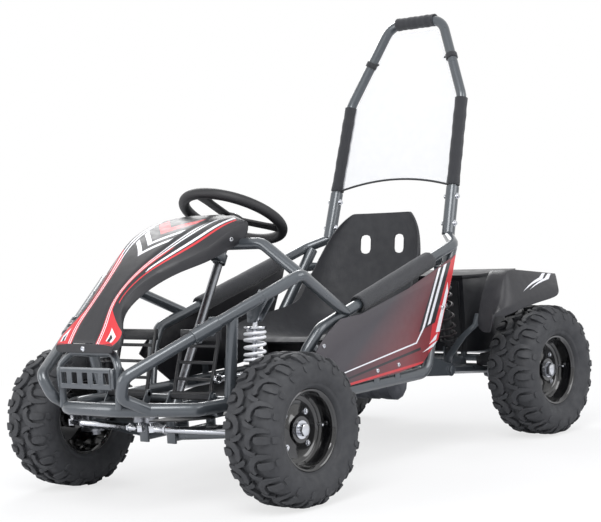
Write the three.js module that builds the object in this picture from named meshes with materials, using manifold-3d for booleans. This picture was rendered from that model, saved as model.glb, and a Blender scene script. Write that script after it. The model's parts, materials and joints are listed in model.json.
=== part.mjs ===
// An electric off-road go-kart: tubular frame, four knobbly tyres, front A-arms and a rear swing unit.
// Millimetres, +Z up. The kart drives towards -Y, and its left side is +X.
// Places are taken from the ground at mid-wheelbase; the finished kart is moved so that its box is centred.
import * as THREE from "three";
import { mergeVertices } from "three/addons/utils/BufferGeometryUtils.js";
import Module from "manifold-3d";

const wasm = await Module();
wasm.setup();

// Fits that every piece shares
const gap = 0.3;
const runningGap = 0.5;
const overrun = 6;
const weldTolerance = 0.001;
const sliver = 0.05;

// Overall sizes
const wheelbase = 1050;
const frontTrack = 743;
const rearTrack = 750;
const frontReach = 830;

// Tubes of the frame
const tubeRadius = 14;
const sillRadius = 16;
const crossRadius = 12;
const tubeBend = 45;
const tightBend = 26;
const bendStepDegrees = 45;
const tubeSides = 8;
const roundSides = 8;
const discSides = 12;
const screwSides = 6;
const thinSides = 6;

// Corners of the frame tubes on the left side: across, along and up
const spot = {
  sillNose: [82, -797, 250],
  sillNoseSide: [207, -664, 236],
  sillWaist: [213, -338, 230],
  sillFlare: [280, -214, 221],
  sillRear: [280, 122, 221],
  riser: [276, 160, 312],
  riserTop: [246, 322, 538],
  railFoot: [134, -744, 244],
  railTipLow: [116, -812, 280],
  railTipHigh: [138, -820, 328],
  railPeak: [330, -412, 523],
  railTail: [276, -191, 409],
  armrestFoot: [238, -372, 232],
  armrestKnee: [262, -330, 334],
  armrestBend: [275, -290, 382],
  armrestEnd: [265, 306, 542],
  hoopFoot: [210, 360, 566],
  hoopShoulder: [196, 487, 947],
  hoopTop: [90, 566, 1174],
  dashEnd: [322, -402, 518],
  dashCorner: [206, -402, 598],
  postTop: [252, -572, 442],
  postFoot: [213, -560, 236],
};

// Floor, cross members and what stands on them
const panTop = 209;
const panThickness = 3;
const panFront = -690;
const panStep = -436;
const panRear = 108;
const panSlotHalf = 74;
const crossHeight = panTop + gap + crossRadius;
const pedalCrossY = -594;
const rearArmCrossY = -451;
const seatCrossFrontY = -60;
const seatCrossRearY = 92;
const rearCross = { half: 205, y: 369, z: 495 };

// Front suspension: an arm each side, hinged lengthwise under the floor
const arm = {
  pivotX: 45,
  height: 155,
  front: -588,
  rear: -457,
  bushRadius: 14,
  pinRadius: 7,
  legRadius: 11.5,
  endShare: 0.125,
  hangerThickness: 6,
  hangerInner: 32,
  hangerOuter: 60,
  hangerDrop: 17,
};
const kingpinSetback = 81.5;
const webSetback = 53.5;
const kingpin = {
  x: frontTrack / 2 - kingpinSetback,
  radius: 8,
  sleeveRadius: 16,
  sleeveLow: 151,
  sleeveHigh: 196,
  plate: 8,
  plateRadius: 21,
  webX: frontTrack / 2 - webSetback,
  webThickness: 6,
  webHalf: 20,
  nutRadius: 12,
  nutHeight: 9,
};
const stubRadius = 10;
const stubReach = 40;

// Steering: the column leans back, and a drop arm pushes both tie rods
const column = {
  bracket: [0, -332, 559],
  leanY: 0.498,
  leanZ: 0.867,
  radius: 11,
  bushWall: 5,
  bushLength: 26,
  wheelAlong: 118,
  hubRadius: 32,
  hubDepth: 22,
};
const tieRod = {
  height: 178,
  radius: 8,
  pinRadius: 6,
  innerX: 20,
  innerY: -628,
  pinTop: 207,
  socketClear: 7.5,
  socketWall: 3.5,
  socketLow: 194,
  headRadius: 11,
  nutRadius: 11,
  nutShares: [0.14, 0.84],
};
const dropArm = { thickness: 8, width: 22 };
const steeringWheel = { radius: 129, grip: 13.5, spokeWidth: 34, spokeThickness: 7, spokes: 3 };

// Shock absorbers
const frontShock = {
  top: [248, -492, 431],
  foot: [248, -516, 184],
  eyeRadius: 13,
  eyeBore: 7.6,
  eyeWidth: 16,
  pinRadius: 4,
  rodRadius: 6,
  bodyRadius: 14,
  collarRadius: 27,
  collarThickness: 5,
  collarTopShare: 0.1,
  collarLowShare: 0.46,
  bodyTopShare: 0.4,
  rodEndShare: 0.7,
  boreEndShare: 0.8,
  springRadius: 23.5,
  wireRadius: 3.3,
  curls: 5,
};
const rearShock = {
  top: [170, 372, 466],
  foot: [170, 392, 243],
  eyeRadius: 12,
  eyeBore: 7.6,
  eyeWidth: 16,
  pinRadius: 4,
  rodRadius: 6,
  bodyRadius: 13,
  collarRadius: 25,
  collarThickness: 5,
  collarTopShare: 0.16,
  collarLowShare: 0.86,
  bodyTopShare: 0.5,
  rodEndShare: 0.72,
  boreEndShare: 0.82,
  springRadius: 21,
  wireRadius: 3.3,
  curls: 5,
};
const curlSteps = 8;
const wireSides = 5;
const clevis = { thickness: 5, half: 12, clear: 2.4, shoulderShare: 1.5 };

// Rear swing unit
const swing = {
  pivotY: 283,
  pivotZ: 205,
  pivotRadius: 16,
  pinRadius: 8,
  headRadius: 12.8,
  hangerX: 240,
  hangerThickness: 6,
  hangerRun: 48,
  sideX: 214,
  sideRadius: 13,
  crossY: 392,
  crossZ: 214,
  housingRadius: 27,
  housingWidth: 26,
  bearingRadius: 13,
  boxCrossY: 486,
  boxCrossZ: 212,
  boxCrossRadius: 10,
  tailY: 655,
};
const axle = { radius: 12.5, flangeRadius: 34, flangeWidth: 6, nutRadius: 19 };
const motor = { y: 402, z: 146, radius: 50, inner: -30, outer: -186, shaft: 9, shaftReach: 74, fins: 2, finDepth: 4 };
const chain = {
  x: -252,
  pitch: 24,
  axleTeeth: 16,
  motorTeeth: 6,
  pinRadius: 2.6,
  pinSides: 4,
  plate: 2,
  innerWidth: 5,
  plateHalf: 5,
  waistShare: 0.62,
  toothShare: 0.3,
  rootShare: 0.72,
  tipShare: 0.25,
  hubLength: 12,
  motorHub: 14,
};
const sprocketThickness = 3.5;
const disc = { x: 250, radius: 74, bore: 24, thickness: 4, hubLength: 14, vents: 6, ventRadius: 7 };
const caliper = { y: 463, z: 213, half: 22, halfHeight: 17, width: 30, clear: 1.5 };

// Battery box over the rear axle
const box = {
  half: 200,
  front: 476,
  rear: 690,
  low: 229,
  high: 436,
  wall: 4,
  chamferX: 32,
  chamferY: 42,
  lidThickness: 9,
  lidLip: 6,
  hingeRadius: 6,
  hingeHalf: 60,
  packMargin: 16,
  packHeight: 150,
  postRadius: 9,
  postInset: 50,
  strapHeight: 4,
};

// Rear fenders over the inner part of each tyre
const fender = {
  inner: 310,
  topOuter: 366,
  crease: 402,
  wall: 3,
  flapLow: [302, 305],
  flapTop: [397, 469],
  topRear: [648, 433],
  creaseFront: [302, 353],
  creaseMiddle: [430, 392],
  creaseRear: [600, 398],
  bandFront: [330, 338],
  bandMiddle: [440, 366],
  bandRear: [602, 372],
  outShares: [0.3, 0.8, 0.9, 1, 1],
  roundShares: [0.94, 0.06],
  lowShares: [0.45, 0.7, 0.4],
};
const strapThickness = 3;
const fenderBolt = { radius: 6, height: 4, z: 340 };

// Wheels
const tyre = {
  radius: 177.5,
  width: 145,
  lug: 9,
  pitches: 8,
  stepsPerPitch: 3,
  beadRadius: 88,
  beadHalf: 49.6,
  treadHalf: 50,
  grooveHalf: 7,
  bulgeRadius: 128,
  shoulderIn: 9,
  shoulderDrop: 14,
  shoulderLug: 6,
  wall: 12,
  toe: 9,
};
const rim = {
  flangeRadius: 94,
  flangeHalf: 53,
  wall: 3,
  discX: 8,
  hubOuter: 24,
  hubInner: -14,
  hubRadius: 31,
  segments: 10,
};

// Body panels, seat and soft parts
const cowlThickness = 3;
const panelThickness = 3;
const seatThickness = 5;
const pad = { radius: 24, front: -140, rear: 186 };
const sleeveRadius = 19;
const net = {
  low: 700,
  sleeveTop: 940,
  high: 1146,
  thickness: 2.4,
  columns: 5,
  rows: 8,
  strand: 3.5,
  margin: 8,
  inset: 22,
  straps: [1062],
  strapWall: 3,
  strapLength: 16,
  topPad: 66,
};

const riserShare = 0.78;
const coupling = { shares: [0.38, 0.52], wall: 3.5, boltShares: [0.25, 0.75], boltReach: 9, boltRadius: 4 };
const hoopClamp = { shares: [0.08, 0.27], sleeveShare: 0.34, radius: 5, reach: 11, wall: 4 };
const panHalfFront = 150;
const panCorner = 28;
const panMargin = 2;
const panelScrews = [[-310, 341], [-107, 255], [-19, 259], [186, 384]];
const screwRadius = 6;
const panelTab = { half: 12, thickness: 3, screws: 3 };
const wheelNut = { radius: 15, height: 14, collar: 7, collarRadius: 16 };
const seatRail = { x: 112, half: 9, low: 262, high: 270, margin: 24 };

// Pedals: two ladder-shaped plates hinged at their feet
const pedal = {
  inner: 42,
  outer: 170,
  ear: 5,
  earHalf: 11,
  pivotY: -575,
  pivotZ: 252,
  pinRadius: 6,
  hubRadius: 10,
  nutRadius: 9.6,
  topY: -526,
  topZ: 404,
  railRadius: 5,
  rungs: 3,
  rungRadius: 4,
  padHeight: 26,
  padThickness: 8,
  lugShare: 0.27,
};
const brake = {
  x: 182,
  rodRadius: 5,
  rodRear: -352,
  cylinderFront: -392,
  cylinderRear: -300,
  cylinderRadius: 13,
  eyeRadius: 11,
  eyeBore: 7.5,
  eyeWidth: 8,
  travelRoom: 24,
};

// Guard at the nose
const guard = {
  tubeRadius: 9,
  foot: [93, -798, 252],
  side: [98, -796, 350],
  top: [70, -782, 378],
  plateHalf: 88,
  plateLow: 298,
  plateHigh: 348,
  plateFront: -812,
  plateThickness: 4,
  slots: 5,
  slotHalf: 9,
  slotMargin: 12,
};

// Cowl: stations from the nose tip to the dash, as the distance along, the ridge's height,
// and the shoulder, side and skirt as pairs of across and up
const cowlStations = [
  [-806, 402, [56, 400], [92, 396], [94, 382]],
  [-778, 442, [58, 438], [106, 414], [107, 396]],
  [-748, 478, [42, 476], [60, 468], [62, 444]],
  [-712, 512, [38, 511], [56, 503], [59, 478]],
  [-655, 558, [50, 555], [73, 542], [76, 516]],
  [-591, 602, [80, 595], [112, 568], [112, 548]],
  [-530, 636, [102, 627], [142, 592], [138, 562]],
  [-450, 662, [106, 656], [146, 634], [142, 588]],
  [-376, 668, [98, 664], [140, 648], [137, 612]],
];

// Side panel between the armrest rail and the sill, as along and up
const panelOutline = [
  [-349, 317],
  [-241, 232],
  [-14, 238],
  [86, 249],
  [160, 303],
  [244, 469],
  [264, 518],
  [168, 485],
  [41, 446],
  [-158, 402],
  [-239, 399],
  [-290, 371],
  [-327, 342],
];

// Seat: stations from the front lip over the pan to the top of the back, as the distance along,
// the height, half the width and the rise of the wings
const seatStations = [
  [-128, 322, 172, 18],
  [-104, 336, 182, 36],
  [20, 306, 190, 78],
  [170, 292, 191, 104],
  [264, 318, 190, 122],
  [314, 400, 188, 112],
  [336, 500, 178, 72],
  [348, 590, 152, 36],
  [352, 634, 106, 12],
];
const seatAcrossShares = [-1, -0.93, -0.6, 0, 0.6, 0.93, 1];
const seatRiseShares = [1, 0.5, 0.06, 0, 0.06, 0.5, 1];
const seatSlot = { inner: 41, outer: 77, low: 522, high: 574, reach: 60 };

// Stay between the swing unit and the fender, as across, along and up
const strapRows = [
  [214, 304, 200],
  [226, 304, 238],
  [274, 306, 292],
];
const strapHalf = 12;
const strapTopAcross = 313;
const strapTopHeights = [326, 352];
const fenderStay = { y: 600, radius: 6, topX: 345, kneeX: 300, drop: 3.9 };

const axleFrontY = -wheelbase / 2;
const axleRearY = wheelbase / 2;
const rearReach = axleRearY + tyre.radius;
const axleHeight = tyre.radius;
const centreShift = (frontReach - rearReach) / 2;

// Finishes: colour, roughness and metalness
const finish = {
  frame: { color: 0x454a4f, roughness: 0.32, metalness: 0.55 },
  black: { color: 0x17181a, roughness: 0.45, metalness: 0.1 },
  plastic: { color: 0x1f2023, roughness: 0.55, metalness: 0 },
  panel: { color: 0x2b2326, roughness: 0.4, metalness: 0 },
  seat: { color: 0x1a1b1d, roughness: 0.75, metalness: 0 },
  rubber: { color: 0x202123, roughness: 0.85, metalness: 0 },
  fabric: { color: 0x26272a, roughness: 0.9, metalness: 0 },
  net: { color: 0xe8e9ea, roughness: 0.8, metalness: 0 },
  chrome: { color: 0xc9ccd0, roughness: 0.18, metalness: 1 },
  steel: { color: 0x8b8e92, roughness: 0.35, metalness: 0.9 },
  spring: { color: 0xf2f2f2, roughness: 0.35, metalness: 0 },
  darkSpring: { color: 0x3a1a24, roughness: 0.4, metalness: 0.2 },
  rim: { color: 0x111214, roughness: 0.2, metalness: 0.4 },
  motor: { color: 0x6d7074, roughness: 0.4, metalness: 0.7 },
  pack: { color: 0x2d4f7a, roughness: 0.6, metalness: 0 },
};

const leftAndRight = [
  { name: "left", side: 1 },
  { name: "right", side: -1 },
];

// Turns a place of the left side into a point of the side asked for.
function on(side, [x, y, z]) {
  return new THREE.Vector3(side * x, y, z);
}

// Makes a closed geometry a solid that can be joined and cut, with its faces out.
function solid(geometry) {
  const bare = geometry.index ? geometry.toNonIndexed() : geometry.clone();
  for (const name of Object.keys(bare.attributes)) {
    if (name !== "position") bare.deleteAttribute(name);
  }
  const merged = mergeVertices(bare, weldTolerance);
  const vertProperties = merged.attributes.position.array;
  const triVerts = new Uint32Array(merged.index.array);
  const made = new wasm.Manifold(new wasm.Mesh({ numProp: 3, vertProperties, triVerts }));
  if (made.volume() >= 0) return made;
  for (let i = 0; i < triVerts.length; i += 3) {
    [triVerts[i + 1], triVerts[i + 2]] = [triVerts[i + 2], triVerts[i + 1]];
  }
  return new wasm.Manifold(new wasm.Mesh({ numProp: 3, vertProperties, triVerts }));
}

const join = (...solids) => solids.flat().reduce((all, one) => all.add(one));
const cut = (body, ...tools) => tools.flat().reduce((left, tool) => left.subtract(tool), body);

// A path through corners: each straight run is one step long, and each bend has a few steps.
class BentPath extends THREE.Curve {
  constructor(corners, bend, closed = false) {
    super();
    this.points = [];
    this.tangents = [];
    const count = corners.length;
    corners.forEach((corner, i) => {
      const end = !closed && (i === 0 || i === count - 1);
      if (end) this.addEnd(corners, i);
      else this.addBend(corners[(i + count - 1) % count], corner, corners[(i + 1) % count], bend);
    });
  }
  addEnd(corners, i) {
    const other = corners[i === 0 ? 1 : i - 1];
    const tangent = other.clone().sub(corners[i]).normalize();
    this.points.push(corners[i].clone());
    this.tangents.push(i === 0 ? tangent : tangent.negate());
  }
  addBend(before, corner, after, bend) {
    const inward = before.clone().sub(corner);
    const outward = after.clone().sub(corner);
    const reach = Math.min(inward.length(), outward.length()) / 2;
    inward.normalize();
    outward.normalize();
    const half = inward.angleTo(outward) / 2;
    const back = Math.min(bend / Math.tan(half), reach);
    const radius = back * Math.tan(half);
    const middle = inward.clone().add(outward).normalize();
    const centre = corner.clone().addScaledVector(middle, back / Math.cos(half));
    const start = corner.clone().addScaledVector(inward, back).sub(centre);
    const axis = new THREE.Vector3().crossVectors(outward, inward).normalize();
    const sweep = Math.PI - 2 * half;
    const steps = Math.max(1, Math.round(THREE.MathUtils.radToDeg(sweep) / bendStepDegrees));
    for (let step = 0; step <= steps; step += 1) {
      const spoke = start.clone().applyAxisAngle(axis, sweep * (step / steps));
      this.points.push(centre.clone().add(spoke.clone().setLength(radius)));
      this.tangents.push(new THREE.Vector3().crossVectors(axis, spoke).normalize());
    }
  }
  pick(list, u) {
    const at = u * (this.points.length - 1);
    const low = Math.min(Math.floor(at), this.points.length - 2);
    return list[low].clone().lerp(list[low + 1], at - low);
  }
  getPoint(u) {
    return this.pick(this.points, u);
  }
  getPointAt(u) {
    return this.pick(this.points, u);
  }
  getTangentAt(u) {
    return this.pick(this.tangents, u).normalize();
  }
}

// A regular outline with its centre at the origin.
function polygon(sides, radius, turn = 0) {
  const shape = new THREE.Shape();
  for (let i = 0; i < sides; i += 1) {
    const angle = turn + (2 * Math.PI * i) / sides;
    const point = [radius * Math.cos(angle), radius * Math.sin(angle)];
    if (i === 0) shape.moveTo(...point);
    else shape.lineTo(...point);
  }
  shape.closePath();
  return shape;
}

// A round tube along corners.
function tube(corners, radius, bend = tubeBend, sides = tubeSides) {
  const path = new BentPath(corners, bend);
  const steps = path.points.length - 1;
  const options = { steps, extrudePath: path, bevelEnabled: false };
  return solid(new THREE.ExtrudeGeometry(polygon(sides, radius), options));
}

// Thin bars have fewer sides than the frame's tubes.
function sidesFor(radius) {
  return radius < tubeRadius ? thinSides : tubeSides;
}

// A straight round bar between two points.
function bar(from, to, radius, sides = sidesFor(radius)) {
  const length = from.distanceTo(to);
  const shape = new THREE.CylinderGeometry(radius, radius, length, sides);
  return place(shape, from.clone().add(to).divideScalar(2), to.clone().sub(from));
}

// A drill between two points, whose hole clears a bar of the radius however the bar is turned.
function drill(from, to, radius, sides = sidesFor(radius)) {
  return bar(from, to, radius / Math.cos(Math.PI / sides), sides);
}

// Puts a geometry that stands along Y at a centre, with Y turned along a direction.
function place(geometry, centre, direction) {
  const turn = new THREE.Quaternion();
  turn.setFromUnitVectors(new THREE.Vector3(0, 1, 0), direction.clone().normalize());
  return solid(geometry.clone().applyQuaternion(turn).translate(centre.x, centre.y, centre.z));
}

// A turned piece: the profile is pairs of radius and distance along the direction from the centre.
function turned(profile, centre, direction, segments = roundSides) {
  const points = profile.map(([radius, along]) => new THREE.Vector2(radius, along));
  return place(new THREE.LatheGeometry(points, segments), centre, direction);
}

// A ring with a bore, its length centred on a point.
function ring(centre, direction, outer, bore, length, segments = roundSides) {
  const h = length / 2;
  const inner = bore / Math.cos(Math.PI / segments);
  const profile = [[inner, -h], [outer, -h], [outer, h], [inner, h], [inner, -h]];
  return turned(profile, centre, direction, segments);
}

// A block between two opposite corners.
function block(low, high) {
  const size = high.map((value, i) => value - low[i]);
  const centre = high.map((value, i) => (value + low[i]) / 2);
  return solid(new THREE.BoxGeometry(...size).translate(...centre));
}

// A block between low and high on the side asked for.
function sideBlock(side, low, high) {
  const across = [side * low[0], side * high[0]].sort((a, b) => a - b);
  return block([across[0], low[1], low[2]], [across[1], high[1], high[2]]);
}

// A plate of an outline in along and up, between two distances across.
function sidePlate(side, outline, inner, outer) {
  const shape = new THREE.Shape(outline.map(([y, z]) => new THREE.Vector2(y, z)));
  const plate = new THREE.ExtrudeGeometry(shape, { depth: outer - inner, bevelEnabled: false });
  const turn = new THREE.Matrix4().set(0, 0, side, side * inner, 1, 0, 0, 0, 0, 1, 0, 0, 0, 0, 0, 1);
  return solid(plate.applyMatrix4(turn));
}

// A plate of an outline in across and up, between two distances along.
function crossPlate(side, outline, from, to) {
  const shape = new THREE.Shape(outline.map(([x, z]) => new THREE.Vector2(side * x, z)));
  const plate = new THREE.ExtrudeGeometry(shape, { depth: to - from, bevelEnabled: false });
  return solid(plate.rotateX(Math.PI / 2).translate(0, to, 0));
}

// A level plate of an outline in across and along, between two heights.
function floorPlate(outline, low, high) {
  const shape = new THREE.Shape(outline.map(([x, y]) => new THREE.Vector2(x, y)));
  const plate = new THREE.ExtrudeGeometry(shape, { depth: high - low, bevelEnabled: false });
  return solid(plate.translate(0, 0, low));
}

// A closed sheet between two equal grids of points, the outer and the inner face.
function sheet(outer, inner) {
  const rows = outer.length;
  const columns = outer[0].length;
  const positions = [...outer.flat(), ...inner.flat()].flatMap((p) => [p.x, p.y, p.z]);
  const index = [];
  const at = (face, row, column) => face * rows * columns + row * columns + column;
  const quad = (a, b, c, d) => index.push(a, b, c, a, c, d);
  for (let r = 0; r + 1 < rows; r += 1) {
    for (let c = 0; c + 1 < columns; c += 1) {
      quad(at(0, r, c), at(0, r, c + 1), at(0, r + 1, c + 1), at(0, r + 1, c));
      quad(at(1, r, c), at(1, r + 1, c), at(1, r + 1, c + 1), at(1, r, c + 1));
    }
    quad(at(0, r, 0), at(0, r + 1, 0), at(1, r + 1, 0), at(1, r, 0));
    quad(at(0, r, columns - 1), at(1, r, columns - 1), at(1, r + 1, columns - 1), at(0, r + 1, columns - 1));
  }
  for (let c = 0; c + 1 < columns; c += 1) {
    quad(at(0, 0, c), at(1, 0, c), at(1, 0, c + 1), at(0, 0, c + 1));
    quad(at(0, rows - 1, c), at(0, rows - 1, c + 1), at(1, rows - 1, c + 1), at(1, rows - 1, c));
  }
  const geometry = new THREE.BufferGeometry();
  geometry.setAttribute("position", new THREE.Float32BufferAttribute(positions, 3));
  geometry.setIndex(index);
  return solid(geometry);
}

// A flat lattice with a gap in every second cell both ways: place gives a point of the front or back face.
function lattice(across, up, place) {
  const columns = across.length;
  const rows = up.length;
  const positions = [];
  for (const face of [0, 1]) {
    for (const v of up) for (const u of across) positions.push(...place(u, v, face).toArray());
  }
  const at = (face, row, column) => (face * rows + row) * columns + column;
  const open = (row, column) => {
    const inside = row >= 0 && column >= 0 && row < rows - 1 && column < columns - 1;
    return !inside || (row % 2 === 1 && column % 2 === 1);
  };
  const index = [];
  const quad = (a, b, c, d) => index.push(a, b, c, a, c, d);
  for (let r = 0; r + 1 < rows; r += 1) {
    for (let c = 0; c + 1 < columns; c += 1) {
      if (open(r, c)) continue;
      quad(at(0, r, c), at(0, r, c + 1), at(0, r + 1, c + 1), at(0, r + 1, c));
      quad(at(1, r, c), at(1, r + 1, c), at(1, r + 1, c + 1), at(1, r, c + 1));
      if (open(r - 1, c)) quad(at(0, r, c), at(1, r, c), at(1, r, c + 1), at(0, r, c + 1));
      if (open(r + 1, c)) quad(at(0, r + 1, c + 1), at(1, r + 1, c + 1), at(1, r + 1, c), at(0, r + 1, c));
      if (open(r, c - 1)) quad(at(0, r + 1, c), at(1, r + 1, c), at(1, r, c), at(0, r, c));
      if (open(r, c + 1)) quad(at(0, r, c + 1), at(1, r, c + 1), at(1, r + 1, c + 1), at(0, r + 1, c + 1));
    }
  }
  const geometry = new THREE.BufferGeometry();
  geometry.setAttribute("position", new THREE.Float32BufferAttribute(positions, 3));
  geometry.setIndex(index);
  return solid(geometry);
}

// A ring of equal sections that closes on itself: sections[step][point].
function closedRing(sections) {
  const steps = sections.length;
  const count = sections[0].length;
  const positions = sections.flat().flatMap((p) => [p.x, p.y, p.z]);
  const index = [];
  for (let s = 0; s < steps; s += 1) {
    for (let c = 0; c < count; c += 1) {
      const a = s * count + c;
      const b = s * count + ((c + 1) % count);
      const d = ((s + 1) % steps) * count + c;
      const e = ((s + 1) % steps) * count + ((c + 1) % count);
      index.push(a, b, e, a, e, d);
    }
  }
  const geometry = new THREE.BufferGeometry();
  geometry.setAttribute("position", new THREE.Float32BufferAttribute(positions, 3));
  geometry.setIndex(index);
  return solid(geometry);
}

// A hexagon screw head or nut that stands on a face.
function hexagon(foot, direction, radius, height) {
  return bar(foot, foot.clone().addScaledVector(direction, height), radius, screwSides);
}

// A named mesh of a solid, with its own material.
function piece(name, body, look) {
  const mesh = body.simplify(sliver).getMesh();
  const positions = new Float32Array(mesh.numVert * 3);
  for (let i = 0; i < mesh.numVert; i += 1) {
    positions.set(mesh.vertProperties.subarray(i * mesh.numProp, i * mesh.numProp + 3), i * 3);
  }
  const geometry = new THREE.BufferGeometry();
  geometry.setAttribute("position", new THREE.BufferAttribute(positions, 3));
  geometry.setIndex(new THREE.BufferAttribute(new Uint32Array(mesh.triVerts), 1));
  const flat = geometry.toNonIndexed();
  flat.computeVertexNormals();
  const made = new THREE.Mesh(flat, new THREE.MeshStandardMaterial(look));
  made.name = name;
  return made;
}

// Frame tubes, each with a slightly larger copy that seats its neighbours
const sillCorners = (side) =>
  [spot.sillNose, spot.sillNoseSide, spot.sillWaist, spot.sillFlare, spot.sillRear, spot.riser, spot.riserTop]
    .map((place) => on(side, place));
const sillLoop = () => [...sillCorners(1).reverse(), ...sillCorners(-1)];
const railCorners = (side) =>
  [spot.railFoot, spot.railTipLow, spot.railTipHigh, spot.railPeak, spot.railTail]
    .map((place) => on(side, place));
const armrestCorners = (side) =>
  [spot.armrestFoot, spot.armrestKnee, spot.armrestBend, spot.armrestEnd, spot.hoopFoot]
    .map((place) => on(side, place));
const dashCorners = () => {
  const half = (side) => [spot.dashEnd, spot.dashCorner].map((place) => on(side, place));
  return [...half(1), ...half(-1).reverse()];
};
const hoopCorners = () => {
  const half = (side) => [spot.hoopFoot, spot.hoopShoulder, spot.hoopTop].map((place) => on(side, place));
  return [...half(1), ...half(-1).reverse()];
};
const sill = (extra = 0) => tube(sillLoop(), sillRadius + extra);
const sideRail = (side, extra = 0) => tube(railCorners(side), tubeRadius + extra, tightBend);
const armrestRail = (side, extra = 0) => tube(armrestCorners(side), tubeRadius + extra);
const dashTube = (extra = 0) => tube(dashCorners(), tubeRadius + extra);
const hoopTube = (extra = 0) => tube(hoopCorners(), tubeRadius + extra, tubeBend + tubeRadius);

// The column's own line, upwards from the lower end
const columnAxis = new THREE.Vector3(0, column.leanY, column.leanZ).normalize();
const bracketPoint = on(1, column.bracket);
const alongColumn = (distance) => bracketPoint.clone().addScaledVector(columnAxis, distance);
const socketMiddle = new THREE.Vector3(0, tieRod.innerY, (tieRod.socketLow + tieRod.pinTop) / 2);
const dropFoot = alongColumn(socketMiddle.clone().sub(bracketPoint).dot(columnAxis));
const dropReach = socketMiddle.distanceTo(dropFoot);
const knuckleBallY = axleFrontY - dropReach;
const wheelCentre = alongColumn(column.wheelAlong);

function crossTube(half, y) {
  return bar(new THREE.Vector3(-half, y, crossHeight), new THREE.Vector3(half, y, crossHeight), crossRadius);
}

// The rear cross tube, bowed backwards round the seat, between the two risers
function bowedCross() {
  const end = new THREE.Vector3().lerpVectors(on(1, spot.riser), on(1, spot.riserTop), riserShare);
  const half = (side) => [[end.x, end.y, end.z], [rearCross.half, rearCross.y, rearCross.z]]
    .map((place) => on(side, place));
  return tube([...half(1), ...half(-1).reverse()], crossRadius, tubeBend, thinSides);
}

// Two plates that hang under the cross members and carry the arm's hinge pin
function armHangers(side) {
  const low = arm.height - arm.hangerDrop;
  const front = [arm.front - gap - arm.hangerThickness, arm.front - gap];
  const rear = [arm.rear + gap, arm.rear + gap + arm.hangerThickness];
  const plates = [front, rear].map(([from, to]) =>
    sideBlock(side, [arm.hangerInner, from, low], [arm.hangerOuter, to, crossHeight]));
  const pinEnds = [front[0], rear[1]].map((y) => on(side, [arm.pivotX, y, arm.height]));
  return [...plates, bar(...pinEnds, arm.pinRadius)];
}

// A rail under the seat on two short posts
function seatStand(side) {
  const { x, half, low, high, margin } = seatRail;
  const rail = sideBlock(side, [x - half, seatCrossFrontY - margin, low], [x + half, seatCrossRearY + margin, high]);
  const posts = [seatCrossFrontY, seatCrossRearY].map((y) =>
    bar(on(side, [x, y, crossHeight]), on(side, [x, y, (low + high) / 2]), half));
  return [rail, ...posts];
}

// Ears on the front cross member with the pedal's hinge pin between them
function pedalEars(side) {
  const { inner, outer, ear, pivotY, pivotZ, pinRadius, earHalf } = pedal;
  const outline = [
    [pedalCrossY - crossRadius, crossHeight],
    [pedalCrossY + crossRadius, crossHeight],
    [pivotY + earHalf, pivotZ],
    [pivotY + earHalf / 2, pivotZ + earHalf],
    [pivotY - earHalf / 2, pivotZ + earHalf],
    [pivotY - earHalf, pivotZ],
  ];
  const near = sidePlate(side, outline, inner - gap - ear, inner - gap);
  const far = sidePlate(side, outline, outer + gap, outer + gap + ear);
  const pinEnds = [inner - gap - ear, outer + gap + ear].map((x) => on(side, [x, pivotY, pivotZ]));
  const nut = hexagon(pinEnds[1], new THREE.Vector3(side, 0, 0), pedal.nutRadius, pinRadius);
  return [near, far, bar(...pinEnds, pinRadius), nut];
}

// The plate behind the sill's rear bend that carries the swing unit's pivot
function swingHanger(side) {
  const { hangerX, hangerThickness, hangerRun, pivotY, pivotZ, pivotRadius, pinRadius } = swing;
  const [sillX, sillY, sillZ] = spot.sillRear;
  const rear = pivotY + pivotRadius;
  const outline = [
    [sillY - hangerRun, sillZ - sillRadius / 2],
    [pivotY, pivotZ - pivotRadius],
    [rear, pivotZ],
    [pivotY, pivotZ + pivotRadius],
    [sillY + sillRadius * 2, sillZ + hangerRun],
    [sillY - sillRadius, sillZ + sillRadius / 2],
  ];
  const plate = sidePlate(side, outline, hangerX, hangerX + hangerThickness);
  const spacer = sideBlock(side, [hangerX, sillY - hangerRun, sillZ - sillRadius / 2],
    [sillX, sillY - sillRadius / 2, sillZ + sillRadius / 2]);
  const pin = bar(on(side, [hangerX - pivotRadius, pivotY, pivotZ]), on(side, [hangerX, pivotY, pivotZ]), pinRadius);
  const face = on(side, [hangerX + hangerThickness, pivotY, pivotZ]);
  const head = hexagon(face, new THREE.Vector3(side, 0, 0), swing.headRadius, pinRadius);
  return [plate, spacer, pin, head];
}

// The two ears and the pin that hold a shock absorber's eye
function clevisAt(side, centre, shock, towards, reach) {
  const { eyeWidth, pinRadius } = shock;
  const near = eyeWidth / 2 + clevis.clear;
  const far = near + clevis.thickness;
  const [x, y, z] = centre;
  const across = towards === "along";
  const ear = (from, to) => across
    ? sideBlock(side, [x - clevis.half, y + from, Math.min(z - clevis.half, z + reach)],
        [x + clevis.half, y + to, Math.max(z + clevis.half, z + reach)])
    : sideBlock(side, [x + from, y - clevis.half, Math.min(z - clevis.half, z + reach)],
        [x + to, y + clevis.half, Math.max(z + clevis.half, z + reach)]);
  const shift = across ? [0, far, 0] : [far, 0, 0];
  const pinEnds = [-1, 1].map((way) => on(side, centre.map((v, i) => v + way * shift[i])));
  return [ear(near, far), ear(-far, -near), bar(...pinEnds, pinRadius)];
}

// The brackets at the shocks' upper ends: beside the side rail, and on the rear cross tube
function shockEars(side) {
  return clevisAt(side, rearShock.top, rearShock, "across", rearCross.z - rearShock.top[2]);
}

// The outer face of the sill, against which the side panel stands
function panelInner() {
  return spot.sillFlare[0] + sillRadius + gap;
}

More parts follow.
